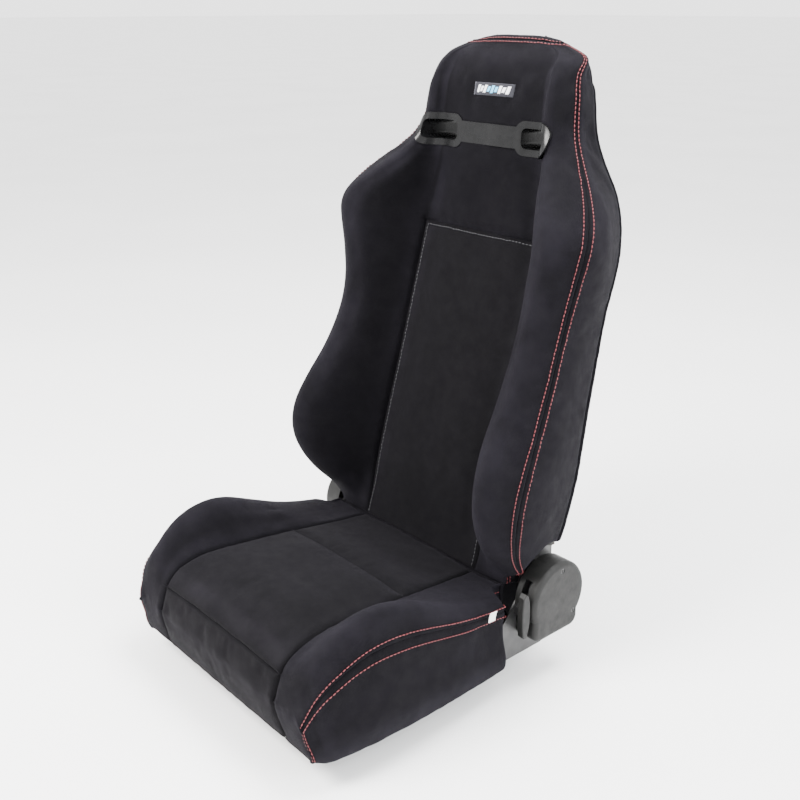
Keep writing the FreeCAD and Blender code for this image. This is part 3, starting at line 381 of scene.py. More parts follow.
# ---- sewn panels --------------------------------------------------------------------------
class Panel:
    """One piece of cloth: its grid in mm, its start shape, and the mesh made from them."""

    def __init__(self, name, grid, inside, slot="woven_fabric", cells=None):
        self.name = name
        self.body = "backrest" if name.startswith("backrest") else "seat_base"
        self.slot = slot
        self.grid = grid
        self.inside = np.array(inside, float)
        rows, columns = grid.shape[:2]
        self.cells = np.ones((rows - 1, columns - 1), bool) if cells is None else cells
        self.pressed = []

    def at_used(self, values):
        """The grid's values or points at the vertices that have cloth."""
        return values.reshape(-1, 3)[self.used] if values.ndim == 3 else values.ravel()[self.used]

    def fit(self, seams, room, clear):
        """The start shape: rolled in at the seams and a little under size elsewhere."""
        self.clear = clear
        self.out = normals(self.grid, self.inside)
        self.distance, depth, radius, self.seam_place = seams.near(self.grid)
        turned = rolled(self.distance, depth, radius)
        slack = UNDER_SIZE * smooth(self.distance / 24)
        self.start = self.grid - self.out * (turned + slack)[..., None]
        self.room = room(self.grid) + slack

    def mesh(self):
        rows, columns = self.grid.shape[:2]
        number = np.arange(rows * columns).reshape(rows, columns)
        corners = [number[:-1, :-1], number[:-1, 1:], number[1:, 1:], number[1:, :-1]]
        faces = np.stack(corners, -1)[self.cells]
        middle = (rows // 2, columns // 2)
        across = self.grid[middle[0], middle[1] + 1] - self.grid[middle]
        down = self.grid[middle[0] + 1, middle[1]] - self.grid[middle]
        if np.dot(np.cross(across, down), self.out[middle]) < 0:
            faces = faces[:, ::-1]
        self.used = np.unique(faces)
        renumber = np.full(rows * columns, -1)
        renumber[self.used] = np.arange(len(self.used))
        faces = renumber[faces]
        data = bpy.data.meshes.new(self.name)
        data.from_pydata(to_row(self.at_used(self.start)), [], faces.tolist())
        data.polygons.foreach_set("use_smooth", [True] * len(data.polygons))
        self.piece = new_object(self.name, data)
        self.lay_grain(data)

    def lay_grain(self, data):
        """Cloth coordinates in metres along the panel's own rows and columns."""
        steps = np.linalg.norm(np.diff(self.grid, axis=1), axis=2)
        across = np.concatenate([np.zeros((len(steps), 1)), np.cumsum(steps, 1)], 1)
        across -= across[:, across.shape[1] // 2][:, None]
        down = np.linalg.norm(np.diff(self.grid, axis=0), axis=2).mean(1)
        down = np.r_[0, np.cumsum(down)][:, None] + 0 * across
        grain = (np.stack([across, down], -1) * MM).reshape(-1, 2)[self.used]
        layer = data.uv_layers.new(name="grain")
        corner = np.empty(len(data.loops), int)
        data.loops.foreach_get("vertex_index", corner)
        layer.data.foreach_set("uv", grain[corner].ravel())

    def hang(self):
        """Adds the cloth simulation, sewn down along the seams."""
        sewn = self.piece.vertex_groups.new(name="sewn")
        held = np.clip(1 - (self.at_used(self.distance) - 0.6) / 9, 0, 1) ** 1.5
        for i, weight in enumerate(held):
            sewn.add([i], float(weight), "REPLACE")
        cloth = self.piece.modifiers.new("Cloth", "CLOTH")
        for setting, value in CLOTH.items():
            setattr(cloth.settings, setting, value)
        cloth.settings.effector_weights.gravity = 0
        cloth.collision_settings.use_collision = False
        cloth.point_cache.frame_start = 1
        cloth.point_cache.frame_end = SIM_FRAMES

    def settle(self, simulated):
        """Keeps the simulated shape within the room there is, and adds the small gathers."""
        start = self.at_used(self.start)
        out = self.at_used(self.out)
        room = self.at_used(self.room)
        if simulated:
            moved = self.read_cloth() - start
        else:
            moved = out * BLOWN_OUT
        outward = (moved * out).sum(1)
        sideways = moved - out * outward[:, None]
        reach = np.linalg.norm(sideways, axis=1)
        sideways *= (np.minimum(reach, 2.0) / np.maximum(reach, 1e-9))[:, None]
        if not simulated:
            room = room * smooth(self.at_used(self.distance) / 30)
        lift = soft_limit(outward, np.maximum(room, 0.0))
        final = start + out * lift[:, None] + sideways * simulated
        final += out * self.gathers(final)[:, None]
        flat = self.start.reshape(-1, 3).copy()
        flat[self.used] = self.clear(final)
        self.final = self.press(flat.reshape(self.grid.shape))
        final = self.at_used(self.final)
        self.piece.data.vertices.foreach_set("co", to_row(final).ravel())
        self.piece.data.update()
        self.paint_wear()

    def press(self, shape):
        """Smooths the close rows that run on past the end of a seam."""
        free = smooth((self.distance - 3) / 14)[..., None]
        reach = len(EDGE_STEPS) + 1
        for axis, index in self.pressed:
            lines = np.moveaxis(shape, axis, 0)
            low, high = index - reach, index + reach
            known = [low - 1, low, high, high + 1]
            steps = np.linalg.norm(np.diff(lines[low - 1 : high + 2], axis=0), axis=2).mean(1)
            at = np.r_[0, np.cumsum(steps)]
            picked = lines[known].reshape(4, -1)
            level = spline(at[[0, 1, -2, -1]], picked, at[1:-1])
            level = level.reshape(lines[low : high + 1].shape)
            weight = np.moveaxis(free, axis, 0)[low : high + 1]
            lines[low : high + 1] += (level - lines[low : high + 1]) * weight
        return shape

    def read_cloth(self):
        graph = bpy.context.evaluated_depsgraph_get()
        shape = self.piece.evaluated_get(graph).data
        points = np.empty(len(shape.vertices) * 3)
        shape.vertices.foreach_get("co", points)
        points = points.reshape(-1, 3) / MM
        points[:, 1] += ORIGIN_Y
        self.piece.modifiers.clear()
        self.piece.vertex_groups.clear()
        return points

    def gathers(self, points):
        """Small folds that run away from each seam, and the soft unevenness of foam."""
        distance = self.at_used(self.distance)
        seam_place = self.at_used(self.seam_place)
        fade = smooth(distance / 3) * np.exp(-distance / 15)
        folds = np.array([noise.noise(Vector(p) / 9.0) for p in seam_place])
        waves = np.array([noise.noise(Vector(p) / 75.0) for p in points])
        dents = np.array([noise.noise(Vector(p) / 28.0) for p in points])
        return 1.5 * fade * folds + smooth(distance / 20) * (1.3 * waves + 0.35 * dents)

    def paint_wear(self):
        """Marks the cloth that rubs: the crests of the bolsters."""
        data = self.piece.data
        across = np.linalg.norm(np.gradient(self.out, axis=1), axis=2)
        across += np.linalg.norm(np.gradient(self.out, axis=0), axis=2)
        worn = smooth(self.at_used(across) / 0.25) * smooth(self.at_used(self.distance) / 8)
        layer = data.attributes.new("wear", "FLOAT", "POINT")
        layer.data.foreach_set("value", worn.astype(np.float32))

    def finish(self, material, replaced):
        subdivide = self.piece.modifiers.new("Subdivision", "SUBSURF")
        subdivide.levels = subdivide.render_levels = 1
        subdivide.boundary_smooth = "PRESERVE_CORNERS"
        thicken(self.piece, COVER_THICKNESS)
        self.piece.data.materials.append(material)
        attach(self.piece, self.body)
        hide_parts(*replaced)


def new_object(name, data):
    made = bpy.data.objects.new(name, data)
    bpy.context.scene.collection.objects.link(made)
    return made


def thicken(piece, thickness):
    """Gives a sheet its thickness in mm, on its inner side."""
    piece.modifiers.new("Thickness", "SOLIDIFY").thickness = thickness * MM


def to_row(points):
    """Points in mm about the middle of the cushion, as metres in the row frame."""
    return (points - (0, ORIGIN_Y, 0)) * MM


def soft_limit(value, room):
    """Value that levels off at the room there is."""
    safe = np.maximum(room, 1e-6)
    return np.where(room > 0, safe * np.tanh(np.maximum(value, 0) / safe), 0)


def join(first, first_edge, second, second_edge):
    """Makes the start shapes of two panels meet along an edge."""
    meeting = (first.start[first_edge] + second.start[second_edge]) / 2
    first.start[first_edge] = meeting
    second.start[second_edge] = meeting


UNDER_SIZE = 3.0              # how far inside the CAD surface the cloth starts, in mm
BLOWN_OUT = 20.0              # how far it moves where no simulation is run
SIM_FRAMES = 20
CLOTH = dict(
    quality=6, mass=0.3, tension_stiffness=12, compression_stiffness=12, shear_stiffness=4,
    bending_stiffness=0.4, shrink_min=-0.012, vertex_group_mass="sewn", use_pressure=True,
    uniform_pressure_force=6.0,
)
OUTER = dict(depth=2.6, radius=7.0)       # top-stitched outer seams
GROOVE = dict(depth=7.5, radius=11.0)     # deep seams around the inserts
EDGE = dict(depth=4.0, radius=8.0)
CHANNEL = dict(depth=3.0, radius=14.0)
HEM = dict(depth=5.0, radius=9.0)


def slot_hole(panel, s):
    """Opens a panel at both harness slots, its edge drawn to the outline of the slot."""
    rows = s[:, None] + 0 * panel.grid[..., 0]
    distance, _, tangent = PROFILE_LINE
    up = np.array([0, np.interp(SLOT_AT, distance, tangent[:, 0]),
                   np.interp(SLOT_AT, distance, tangent[:, 1])])
    for side in (-1, 1):
        du = panel.grid[..., 0] - side * SLOT_X
        ds = rows - SLOT_AT
        reach = np.maximum(np.abs(du) / SLOT_HALF[0], np.abs(ds) / SLOT_HALF[1])
        within = reach < 1
        whole = within[:-1, :-1] & within[1:, :-1] & within[:-1, 1:] & within[1:, 1:]
        panel.cells = panel.cells & ~whole
        grow = np.where(within, 1 / np.maximum(reach, 0.3) - 1, 0)
        panel.grid = panel.grid + (grow * du)[..., None] * np.array([1, 0, 0])
        panel.grid = panel.grid + (grow * ds)[..., None] * up


def back_room(points):
    """How far the backrest's cloth may stand out from the CAD surface, in mm."""
    height = points[..., 2]
    low = smooth((height - 200) / 90)
    clear = smooth((np.abs(height - BEZEL_HEIGHT) - 30) / 18)
    clear = np.maximum(clear, smooth((np.abs(points[..., 0]) - 142) / 14))
    return -2.4 * (1 - low) + 2.4 * low * clear


def cushion_room(points):
    behind = smooth((points[..., 1] - 40) / 70)
    return 2.6 - 4.8 * behind


def make_back_panels():
    """The grids of the backrest's panels, and its seams."""
    low_rows = BACK_LOW + (INSERT_TOP - BACK_LOW) * spread(INSERT_TOP - BACK_LOW)
    high_rows = INSERT_TOP + (BACK_TOP - INSERT_TOP) * spread(BACK_TOP - INSERT_TOP)
    s = np.r_[low_rows, high_rows[1:]]
    cross = len(low_rows) - 1
    bolster = spread(150)
    insert = spread(270)
    front = front_grid(back_points, s, bolster, insert)
    left, right = len(bolster) - 1, len(bolster) + len(insert) - 2
    top_reach = reach_of(front[-1])
    rear = span_columns(back_points, s, -REAR_KEY, -REAR_KEY_ROUND, top_reach / top_reach[-1])
    side_steps = spread(105)
    sides = [span_columns(back_points, s, sign * SEAM_KEY, sign * REAR_KEY, side_steps)
             for sign in (-1, 1)]
    t = side_steps[None, :, None]
    cap = front[-1][1:-1, None] * (1 - t) + rear[-1][1:-1, None] * t
    swell = np.sin(np.pi * t[..., 0]) * (1 - (cap[..., 0] / front[-1, -1, 0]) ** 4)
    cap[..., 2] += CROWN_BULGE * swell
    gusset = np.concatenate([sides[0], cap, sides[1][::-1]])
    front, rear, gusset = (clear_recliner(g) for g in (front, rear, gusset))
    below_cross = np.arange(len(s) - 1) < cross
    between = (np.arange(front.shape[1] - 1) >= left) & (np.arange(front.shape[1] - 1) < right)
    hole = below_cross[:, None] & between[None, :]
    inner_line = on_back(0 * s, s, 0 * s - 40)
    yoke = Panel("backrest_front_cover", front, inner_line[:, None], cells=~hole)
    insert_grid = front[: cross + 1, left : right + 1]
    centre = Panel("backrest_insert", insert_grid, inner_line[: cross + 1, None], "insert_fabric")
    back = Panel("backrest_rear_cover", rear, inner_line[:, None])
    over_top = np.repeat(inner_line[-1:], len(cap), 0)
    gusset_line = np.concatenate([inner_line, over_top, inner_line[::-1]])
    band = Panel("backrest_side_band", gusset, gusset_line[:, None])
    for panel in (yoke, back):
        slot_hole(panel, s)
        panel.pressed = [(0, cross), (1, left), (1, right)]
    band.pressed = [(0, row) for row in (cross, len(gusset) - 1 - cross, len(s) - 1,
                                         len(gusset) - len(s))]
    seams = Seams()
    seams.add_all(OUTER, front[:, 0], front[-1], front[:, -1])
    seams.add_all(EDGE, rear[:, 0], rear[-1], rear[:, -1])
    seams.add_all(GROOVE, front[: cross + 1, left], front[: cross + 1, right],
                  front[cross, left : right + 1])
    seams.add_all(HEM, front[0], rear[0], gusset[0], gusset[-1])
    seams.finish()
    for panel in (yoke, centre, back, band):
        panel.fit(seams, back_room, clear_recliner)
    count = len(s)
    for panel, edge in ((yoke, 0), (back, -1)):
        join(panel, np.s_[:, 0], band, np.s_[:count, edge])
        join(panel, np.s_[:, -1], band, np.s_[: -count - 1 : -1, edge])
        join(panel, np.s_[-1, :], band, np.s_[count - 1 : len(gusset) - count + 1, edge])
    join(yoke, np.s_[: cross + 1, left], centre, np.s_[:, 0])
    join(yoke, np.s_[: cross + 1, right], centre, np.s_[:, -1])
    join(yoke, np.s_[cross, left : right + 1], centre, np.s_[-1, :])
    return {"yoke": yoke, "insert": centre, "rear": back, "band": band}


def front_face(top, steps):
    """The cushion's front below its top edge: a grid that follows the skirt's front edge."""
    t = np.linspace(0, 1, 60)
    edge = cushion_points(np.full(60, CUSHION_FRONT), (5 + 2 * t)[:, None])[:, 0]
    widths = edge[:, 0] / edge[0, 0]
    drop = (edge[0, 2] - edge[:, 2]) / (edge[0, 2] - edge[-1, 2])
    face = np.repeat(top[None], 60, 0)
    face[..., 0] *= widths[:, None]
    face[..., 2] = top[:, 2] + (UNDERSIDE - top[:, 2]) * drop[:, None]
    return along(undercut(face, 1.0), steps, axis=0)


def undercut(points, share):
    out = points.copy()
    out[..., 1] += share * UNDERCUT_SLOPE * np.maximum(UNDERCUT_TOP - points[..., 2], 0)
    return out


def make_cushion_panels():
    """The grids of the cushion's panels, and its seams."""
    back_rows = CUSHION_REAR + (CROSS_SEAM - CUSHION_REAR) * spread(CUSHION_REAR - CROSS_SEAM)
    main_rows = CROSS_SEAM + (ROLL_SEAM - CROSS_SEAM) * spread(CROSS_SEAM - ROLL_SEAM)
    y = np.r_[back_rows, main_rows[1:]]
    bolster = spread(120)
    insert = spread(300)
    roll_y = np.linspace(ROLL_SEAM, CUSHION_FRONT, 30)
    roll = along(front_grid(cushion_points, roll_y, bolster, insert), spread(44), axis=0)
    down_steps = spread(62)
    face = front_face(roll[-1], down_steps)
    top = np.concatenate([front_grid(cushion_points, y, bolster, insert), roll[1:], face[1:]])
    corner = len(y) + len(roll) - 2
    left, right = len(bolster) - 1, len(bolster) + len(insert) - 2
    edge_y = top[: corner + 1, -1, 1]
    skirts = []
    for sign in (-1, 1):
        skirt = span_columns(cushion_points, edge_y, sign * SEAM_KEY, sign * REAR_KEY, down_steps)
        ahead = 1 - smooth((skirt[..., 1] - CUSHION_FRONT) / 60)
        skirts.append(clear_notch(undercut(skirt, ahead)))
    top = clear_notch(top)
    t = spread(105)[:, None, None]
    floor_line = top[0] * (1, 1, 0) + (0, 0, UNDERSIDE)
    rear = top[0][None] * (1 - t) + floor_line[None] * t
    cross, roll_row = len(back_rows) - 1, len(y) - 1
    zero = 0 * top[:, 0, 0]
    middle = np.stack([zero, np.clip(top[:, 0, 1], -150, 150), zero + 90], -1)
    side_middle = middle[: corner + 1, None]
    made = {
        "insert": Panel("cushion_insert", top[: roll_row + 1, left : right + 1],
                        middle[: roll_row + 1, None], "insert_fabric"),
        "fascia": Panel("cushion_front_face", top[roll_row:, left : right + 1],
                        middle[roll_row:, None], "insert_fabric"),
        "bolster_right": Panel("cushion_bolster_right", top[:, : left + 1], middle[:, None]),
        "bolster_left": Panel("cushion_bolster_left", top[:, right:], middle[:, None]),
        "skirt_right": Panel("cushion_skirt_right", skirts[0], side_middle),
        "skirt_left": Panel("cushion_skirt_left", skirts[1], side_middle),
        "rear": Panel("cushion_rear_face", rear, REAR_FACE_INSIDE),
    }
    for side in ("left", "right"):
        for part in ("bolster_", "skirt_"):
            made[part + side].pressed = [(0, cross), (0, roll_row)]
    seams = Seams()
    seams.add_all(OUTER, top[:, 0], top[:, -1])
    seams.add_all(GROOVE, top[:, left], top[:, right])
    seams.add_all(EDGE, top[roll_row, left : right + 1])
    seams.add_all(CHANNEL, top[cross, left : right + 1])
    seams.add_all(EDGE, top[0])
    seams.add_all(HEM, top[-1], rear[-1], skirts[0][:, -1], skirts[1][:, -1], skirts[0][0],
                  skirts[1][0])
    seams.finish()
    for panel in made.values():
        panel.fit(seams, cushion_room, clear_notch)
    for side, edge, inner in (("right", 0, -1), ("left", -1, 0)):
        bolster_panel, skirt = made["bolster_" + side], made["skirt_" + side]
        outer = 0 if side == "right" else -1
        join(bolster_panel, np.s_[: corner + 1, outer], skirt, np.s_[:, 0])
        join(bolster_panel, np.s_[corner:, outer], skirt, np.s_[-1, :])
        for name, rows in (("insert", np.s_[: roll_row + 1]), ("fascia", np.s_[roll_row:])):
            join(bolster_panel, (rows, inner), made[name], np.s_[:, edge])
    join(made["insert"], np.s_[-1, :], made["fascia"], np.s_[0, :])
    join(made["insert"], np.s_[0, :], made["rear"], np.s_[0, left : right + 1])
    join(made["bolster_right"], np.s_[0, :], made["rear"], np.s_[0, : left + 1])
    join(made["bolster_left"], np.s_[0, :], made["rear"], np.s_[0, right:])
    return made


# ---- finishes -----------------------------------------------------------------------------
class Finish:
    """A material made of nodes, with short ways to add and wire them."""

    def __init__(self, name):
        self.material = bpy.data.materials.new(name)
        self.material.use_nodes = True
        self.tree = self.material.node_tree
        self.tree.nodes.clear()
        self.shader = self.add("ShaderNodeBsdfPrincipled")
        output = self.add("ShaderNodeOutputMaterial")
        self.tree.links.new(self.shader.outputs[0], output.inputs["Surface"])
        self.place = self.add("ShaderNodeTexCoord")

    def add(self, kind, settings=None, **inputs):
        node = self.tree.nodes.new(kind)
        for name, value in (settings or {}).items():
            setattr(node, name, value)
        for name, value in inputs.items():
            self.feed(node.inputs[name.replace("_", " ")], value)
        return node

    def feed(self, socket, value):
        if isinstance(value, bpy.types.NodeSocket):
            self.tree.links.new(value, socket)
        else:
            socket.default_value = value

    def math(self, operation, a, b=0.5):
        node = self.add("ShaderNodeMath", {"operation": operation})
        self.feed(node.inputs[0], a)
        self.feed(node.inputs[1], b)
        return node.outputs[0]

    def texture(self, kind, output, vector, settings=None, **inputs):
        node = self.add(kind, settings, **inputs)
        self.tree.links.new(self.place.outputs[vector], node.inputs["Vector"])
        return node.outputs[output]

    def noise(self, size, detail=3.0, vector=None):
        """Noise with blobs about size metres across."""
        node = self.add("ShaderNodeTexNoise", Scale=1.0 / size, Detail=detail)
        self.feed(node.inputs["Vector"], vector or self.place.outputs["Object"])
        return node.outputs["Fac"]

    def ramp(self, factor, stops):
        node = self.add("ShaderNodeValToRGB")
        self.feed(node.inputs[0], factor)
        elements = node.color_ramp.elements
        while len(elements) < len(stops):
            elements.new(0.5)
        for element, (position, colour) in zip(elements, stops):
            element.position = position
            element.color = grey(colour) if isinstance(colour, float) else (*colour, 1)
        return node.outputs[0]

    def mix(self, factor, first, second):
        node = self.add("ShaderNodeMix", {"data_type": "RGBA"})
        self.feed(node.inputs[0], factor)
        for socket, value in ((node.inputs[6], first), (node.inputs[7], second)):
            self.feed(socket, value if isinstance(value, bpy.types.NodeSocket) else (*value, 1))
        return node.outputs[2]

    def bump(self, height, strength, distance, under=None):
        node = self.add("ShaderNodeBump", Height=height, Strength=strength, Distance=distance)
        if under is not None:
            self.feed(node.inputs["Normal"], under)
        return node.outputs[0]

    def set(self, **inputs):
        for name, value in inputs.items():
            self.feed(self.shader.inputs[name.replace("_", " ")], value)
        return self


def grey(value):
    return (value, value, value, 1)


def scaled(colour, share):
    return tuple(share * c for c in colour)


def threads(finish, pitch):
    """Height of a plain weave with that pitch: two sets of threads, over and under."""
    waves = []
    for direction in ("X", "Y"):
        wave = finish.texture("ShaderNodeTexWave", "Fac", "UV", {"bands_direction": direction},
                              Scale=math.pi / 10 / pitch, Distortion=0.6, Detail=1.0)
        waves.append(finish.math("SUBTRACT", wave, 0.5))
    crossed = finish.math("MULTIPLY", waves[0], waves[1])
    return finish.math("MULTIPLY_ADD", crossed, 2.0)


def woven(name, colour, light, pitch, relief, sheen, tint):
    """Matt seat cloth: a visible weave with painted shade in its low points, faint mottling, and
    paler threads where it rubs.
    """
    finish = Finish(name)
    weave = threads(finish, pitch)
    mottle = finish.noise(0.055, 4.0)
    fleck = finish.noise(0.0011, 2.0)
    # Painted shade: the weave's low points are drawn darker than its raised threads.
    tone = finish.ramp(weave, [(0.25, scaled(colour, 0.55)), (0.8, colour)])
    tone = finish.mix(finish.ramp(fleck, [(0.5, 0.0), (0.75, 0.6)]), tone, light)
    tone = finish.mix(finish.ramp(mottle, [(0.35, 0.0), (0.7, 0.12)]), tone, light)
    wear = finish.add("ShaderNodeAttribute", {"attribute_name": "wear"}).outputs["Fac"]
    rubbed = finish.math("MULTIPLY", wear, finish.ramp(mottle, [(0.3, 0.15), (0.7, 0.55)]))
    tone = finish.mix(rubbed, tone, scaled(light, 1.7))
    rough = finish.ramp(finish.noise(0.02), [(0.3, 0.78), (0.7, 0.95)])
    nap = finish.bump(finish.noise(0.0022, 3.0), 0.25, 0.0006)
    return finish.set(
        Base_Color=tone, Roughness=rough, Sheen_Weight=sheen, Sheen_Roughness=0.4,
        Sheen_Tint=(*tint, 1), Specular_IOR_Level=0.06,
        Normal=finish.bump(weave, relief, 0.0007, nap),
    ).material


def moulded(name, colour, grain, rough, relief):
    """Moulded plastic with a fine leather-like grain, scuffs, and painted shade in the grain's
    hollows.
    """
    finish = Finish(name)
    pebbles = finish.texture("ShaderNodeTexVoronoi", "Distance", "Object",
                             {"feature": "SMOOTH_F1"}, Scale=1 / grain)
    scuff = finish.noise(0.03, 8.0)
    tone = finish.mix(finish.ramp(scuff, [(0.45, 0.0), (0.8, 0.5)]), colour, scaled(colour, 1.8))
    # Painted shade: the low points of the grain are drawn darker.
    tone = finish.mix(finish.ramp(pebbles, [(0.2, 0.25), (0.7, 0.0)]), tone, scaled(colour, 0.5))
    shine = finish.ramp(finish.noise(0.012, 6.0), [(0.3, rough), (0.75, min(1.0, rough + 0.18))])
    return finish.set(Base_Color=tone, Roughness=shine, Specular_IOR_Level=0.22,
                      Normal=finish.bump(pebbles, relief, 0.0003)).material


def powder_coated(name, colour):
    """Black powder coat: orange-peel surface with rubbed high spots."""
    finish = Finish(name)
    peel = finish.noise(0.0016, 2.0)
    scratch = finish.noise(0.018, 9.0)
    tone = finish.mix(finish.ramp(scratch, [(0.6, 0.0), (0.82, 0.6)]), colour, scaled(colour, 4))
    shine = finish.ramp(scratch, [(0.35, 0.34), (0.7, 0.55)])
    return finish.set(Base_Color=tone, Roughness=shine, Coat_Weight=0.15, Coat_Roughness=0.3,
                      Normal=finish.bump(peel, 0.3, 0.0004)).material


def plated(name, colour, dull, rough):
    """Bare or plated steel: drawn along its length, with stains and dulled patches."""
    finish = Finish(name)
    stretched = finish.texture("ShaderNodeMapping", 0, "Object", Scale=(1.0, 0.04, 1.0))
    drawn = finish.noise(0.0012, 4.0, stretched)
    stain = finish.noise(0.02, 6.0)
    tone = finish.mix(finish.ramp(stain, [(0.4, 0.0), (0.75, 0.8)]), colour, dull)
    shine = finish.ramp(drawn, [(0.25, rough), (0.8, rough + 0.22)])
    return finish.set(Base_Color=tone, Metallic=1.0, Roughness=shine,
                      Normal=finish.bump(drawn, 0.25, 0.0002)).material


def foamed(name, colour, dark):
    """Dark foam: open pores drawn darker as painted shade, and uneven colour."""
    finish = Finish(name)
    pores = finish.texture("ShaderNodeTexVoronoi", "Distance", "Object", Scale=520.0)
    tone = finish.mix(finish.noise(0.04, 4.0), colour, dark)
    # Painted shade: the pores are drawn darker.
    tone = finish.mix(finish.ramp(pores, [(0.1, 0.6), (0.5, 0.0)]), tone, scaled(dark, 0.4))
    return finish.set(Base_Color=tone, Roughness=0.95, Subsurface_Weight=0.1,
                      Normal=finish.bump(pores, 0.8, 0.001)).material


def thread_finish(name, colour):
    """Polyester sewing thread: twisted strands, with painted shade in the grooves between them, and
    a soft gloss.
    """
    finish = Finish(name)
    strands = finish.texture("ShaderNodeTexWave", "Fac", "Object", {"bands_direction": "DIAGONAL"},
                             Scale=360.0, Distortion=1.5)
    # Painted shade: the low parts of the strands are drawn darker.
    tone = finish.mix(strands, scaled(colour, 0.6), colour)
    tone = finish.mix(finish.ramp(finish.noise(0.03), [(0.4, 0.0), (0.7, 0.35)]), tone,
                      scaled(colour, 0.75))
    return finish.set(Base_Color=tone, Roughness=0.5, Sheen_Weight=0.05,
                      Normal=finish.bump(strands, 0.6, 0.0002)).material


def rubbered(name, colour):
    finish = Finish(name)
    ribs = finish.texture("ShaderNodeTexWave", "Fac", "Object", {"bands_direction": "X"},
                          Scale=78.0, Distortion=0.2)
    dust = finish.noise(0.01, 5.0)
    tone = finish.mix(finish.ramp(dust, [(0.45, 0.0), (0.75, 0.5)]), colour, scaled(colour, 3))
    return finish.set(Base_Color=tone, Roughness=finish.ramp(dust, [(0.3, 0.6), (0.7, 0.85)]),
                      Normal=finish.bump(ribs, 0.5, 0.0006)).material


def fibre_board(name, colour):
    finish = Finish(name)
    fibre = finish.noise(0.004, 8.0)
    tone = finish.mix(finish.ramp(fibre, [(0.35, 0.0), (0.7, 1.0)]), colour, scaled(colour, 0.55))
    return finish.set(Base_Color=tone, Roughness=0.85,
                      Normal=finish.bump(fibre, 0.4, 0.0006)).material


def make_finishes():
    return {
        "woven_fabric": woven("seat_cloth", (0.0021, 0.0019, 0.0027), (0.0056, 0.005, 0.007),
                              0.0019, 0.8, 0.02, (0.75, 0.68, 0.9)),
        "insert_fabric": woven("insert_cloth", (0.0026, 0.0024, 0.003), (0.006, 0.0054, 0.007),
                               0.0012, 0.5, 0.02, (0.75, 0.7, 0.85)),
        # The foam is coloured dark so that its edges, showing in small gaps near the recliner, read
        # as painted shade.
        "foam": foamed("dark_foam_gap_shade", (0.035, 0.034, 0.032), (0.02, 0.02, 0.019)),
        "badge_cloth": woven("badge_ground", (0.02, 0.02, 0.024), (0.035, 0.035, 0.04), 0.0008,
                             0.6, 0.3, (0.7, 0.7, 0.8)),
        "tag_cloth": woven("tag_satin", (0.72, 0.72, 0.7), (0.85, 0.85, 0.84), 0.0007,
                           0.4, 0.2, (1, 1, 1)),
        "black_plastic": moulded("black_moulding", (0.003, 0.003, 0.0033), 0.0012, 0.2, 0.04),
        "grey_plastic": moulded("grained_moulding", (0.007, 0.007, 0.0068), 0.0014, 0.46, 0.6),
        "back_board": fibre_board("pressed_board", (0.2, 0.14, 0.09)),
        "painted_steel": powder_coated("powder_coat", (0.003, 0.003, 0.0033)),
        "zinc_steel": plated("zinc_plate", (0.55, 0.55, 0.53), (0.33, 0.33, 0.32), 0.3),
        "spring_steel": plated("spring_wire", (0.3, 0.3, 0.31), (0.16, 0.15, 0.14), 0.38),
        "rubber_grip": rubbered("grip_rubber", (0.018, 0.018, 0.018)),
        "red_thread": thread_finish("red_thread", (0.12, 0.004, 0.008)),
        "black_thread": thread_finish("black_thread", (0.02, 0.02, 0.024)),
        "white_thread": thread_finish("white_thread", (0.82, 0.83, 0.85)),
        "blue_thread": thread_finish("blue_thread", (0.12, 0.5, 0.78)),
    }


# ---- stitches and trim --------------------------------------------------------------------
STITCH_LENGTH = 5.0
STITCH_PITCH = 6.6
THREAD_RADIUS = 0.9


def add_piece(name, vertices, faces, body, slot, material):
    """A finished mesh piece from points in mm about the middle of the cushion."""
    data = bpy.data.meshes.new(name)
    data.from_pydata(to_row(np.asarray(vertices, float)), [], faces)
    data.polygons.foreach_set("use_smooth", [True] * len(data.polygons))
    data.update()
    piece = new_object(name, data)
    data.materials.append(material)
    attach(piece, body)
    return piece


def merge(parts):
    """One list of vertices and one of faces from several (vertices, faces) parts."""
    vertices, faces, base = [], [], 0
    for points, made in parts:
        vertices.append(points)
        faces.extend(tuple(i + base for i in face) for face in made)
        base += len(points)
    return np.concatenate(vertices), faces


def grid_quads(rows, columns):
    """Faces of a grid of points with that many rows and columns."""
    return [(j * columns + i, j * columns + i + 1, (j + 1) * columns + i + 1, (j + 1) * columns + i)
            for j in range(rows - 1) for i in range(columns - 1)]


def tube_rings(centres, radii, sides, up):
    """Vertices and faces of a closed tube along centres, its ends drawn to a point."""
    centres = np.asarray(centres)
    along_line = np.gradient(centres, axis=0)
    along_line /= np.linalg.norm(along_line, axis=1)[:, None]
    side = np.cross(along_line, up)
    side /= np.linalg.norm(side, axis=1)[:, None]
    top = np.cross(side, along_line)
    angles = np.arange(sides) * 2 * np.pi / sides
    around = (np.cos(angles)[None, :, None] * side[:, None]
              + np.sin(angles)[None, :, None] * top[:, None])
    rings = centres[:, None] + radii[:, None, None] * around
    count = len(centres)
    vertices = rings.reshape(-1, 3)
    faces = []
    for i in range(count - 1):
        for j in range(sides):
            a, b = i * sides + j, i * sides + (j + 1) % sides
            faces.append((a, b, b + sides, a + sides))
    faces.append(tuple(range(sides))[::-1])
    faces.append(tuple(range((count - 1) * sides, count * sides)))
    return vertices, faces


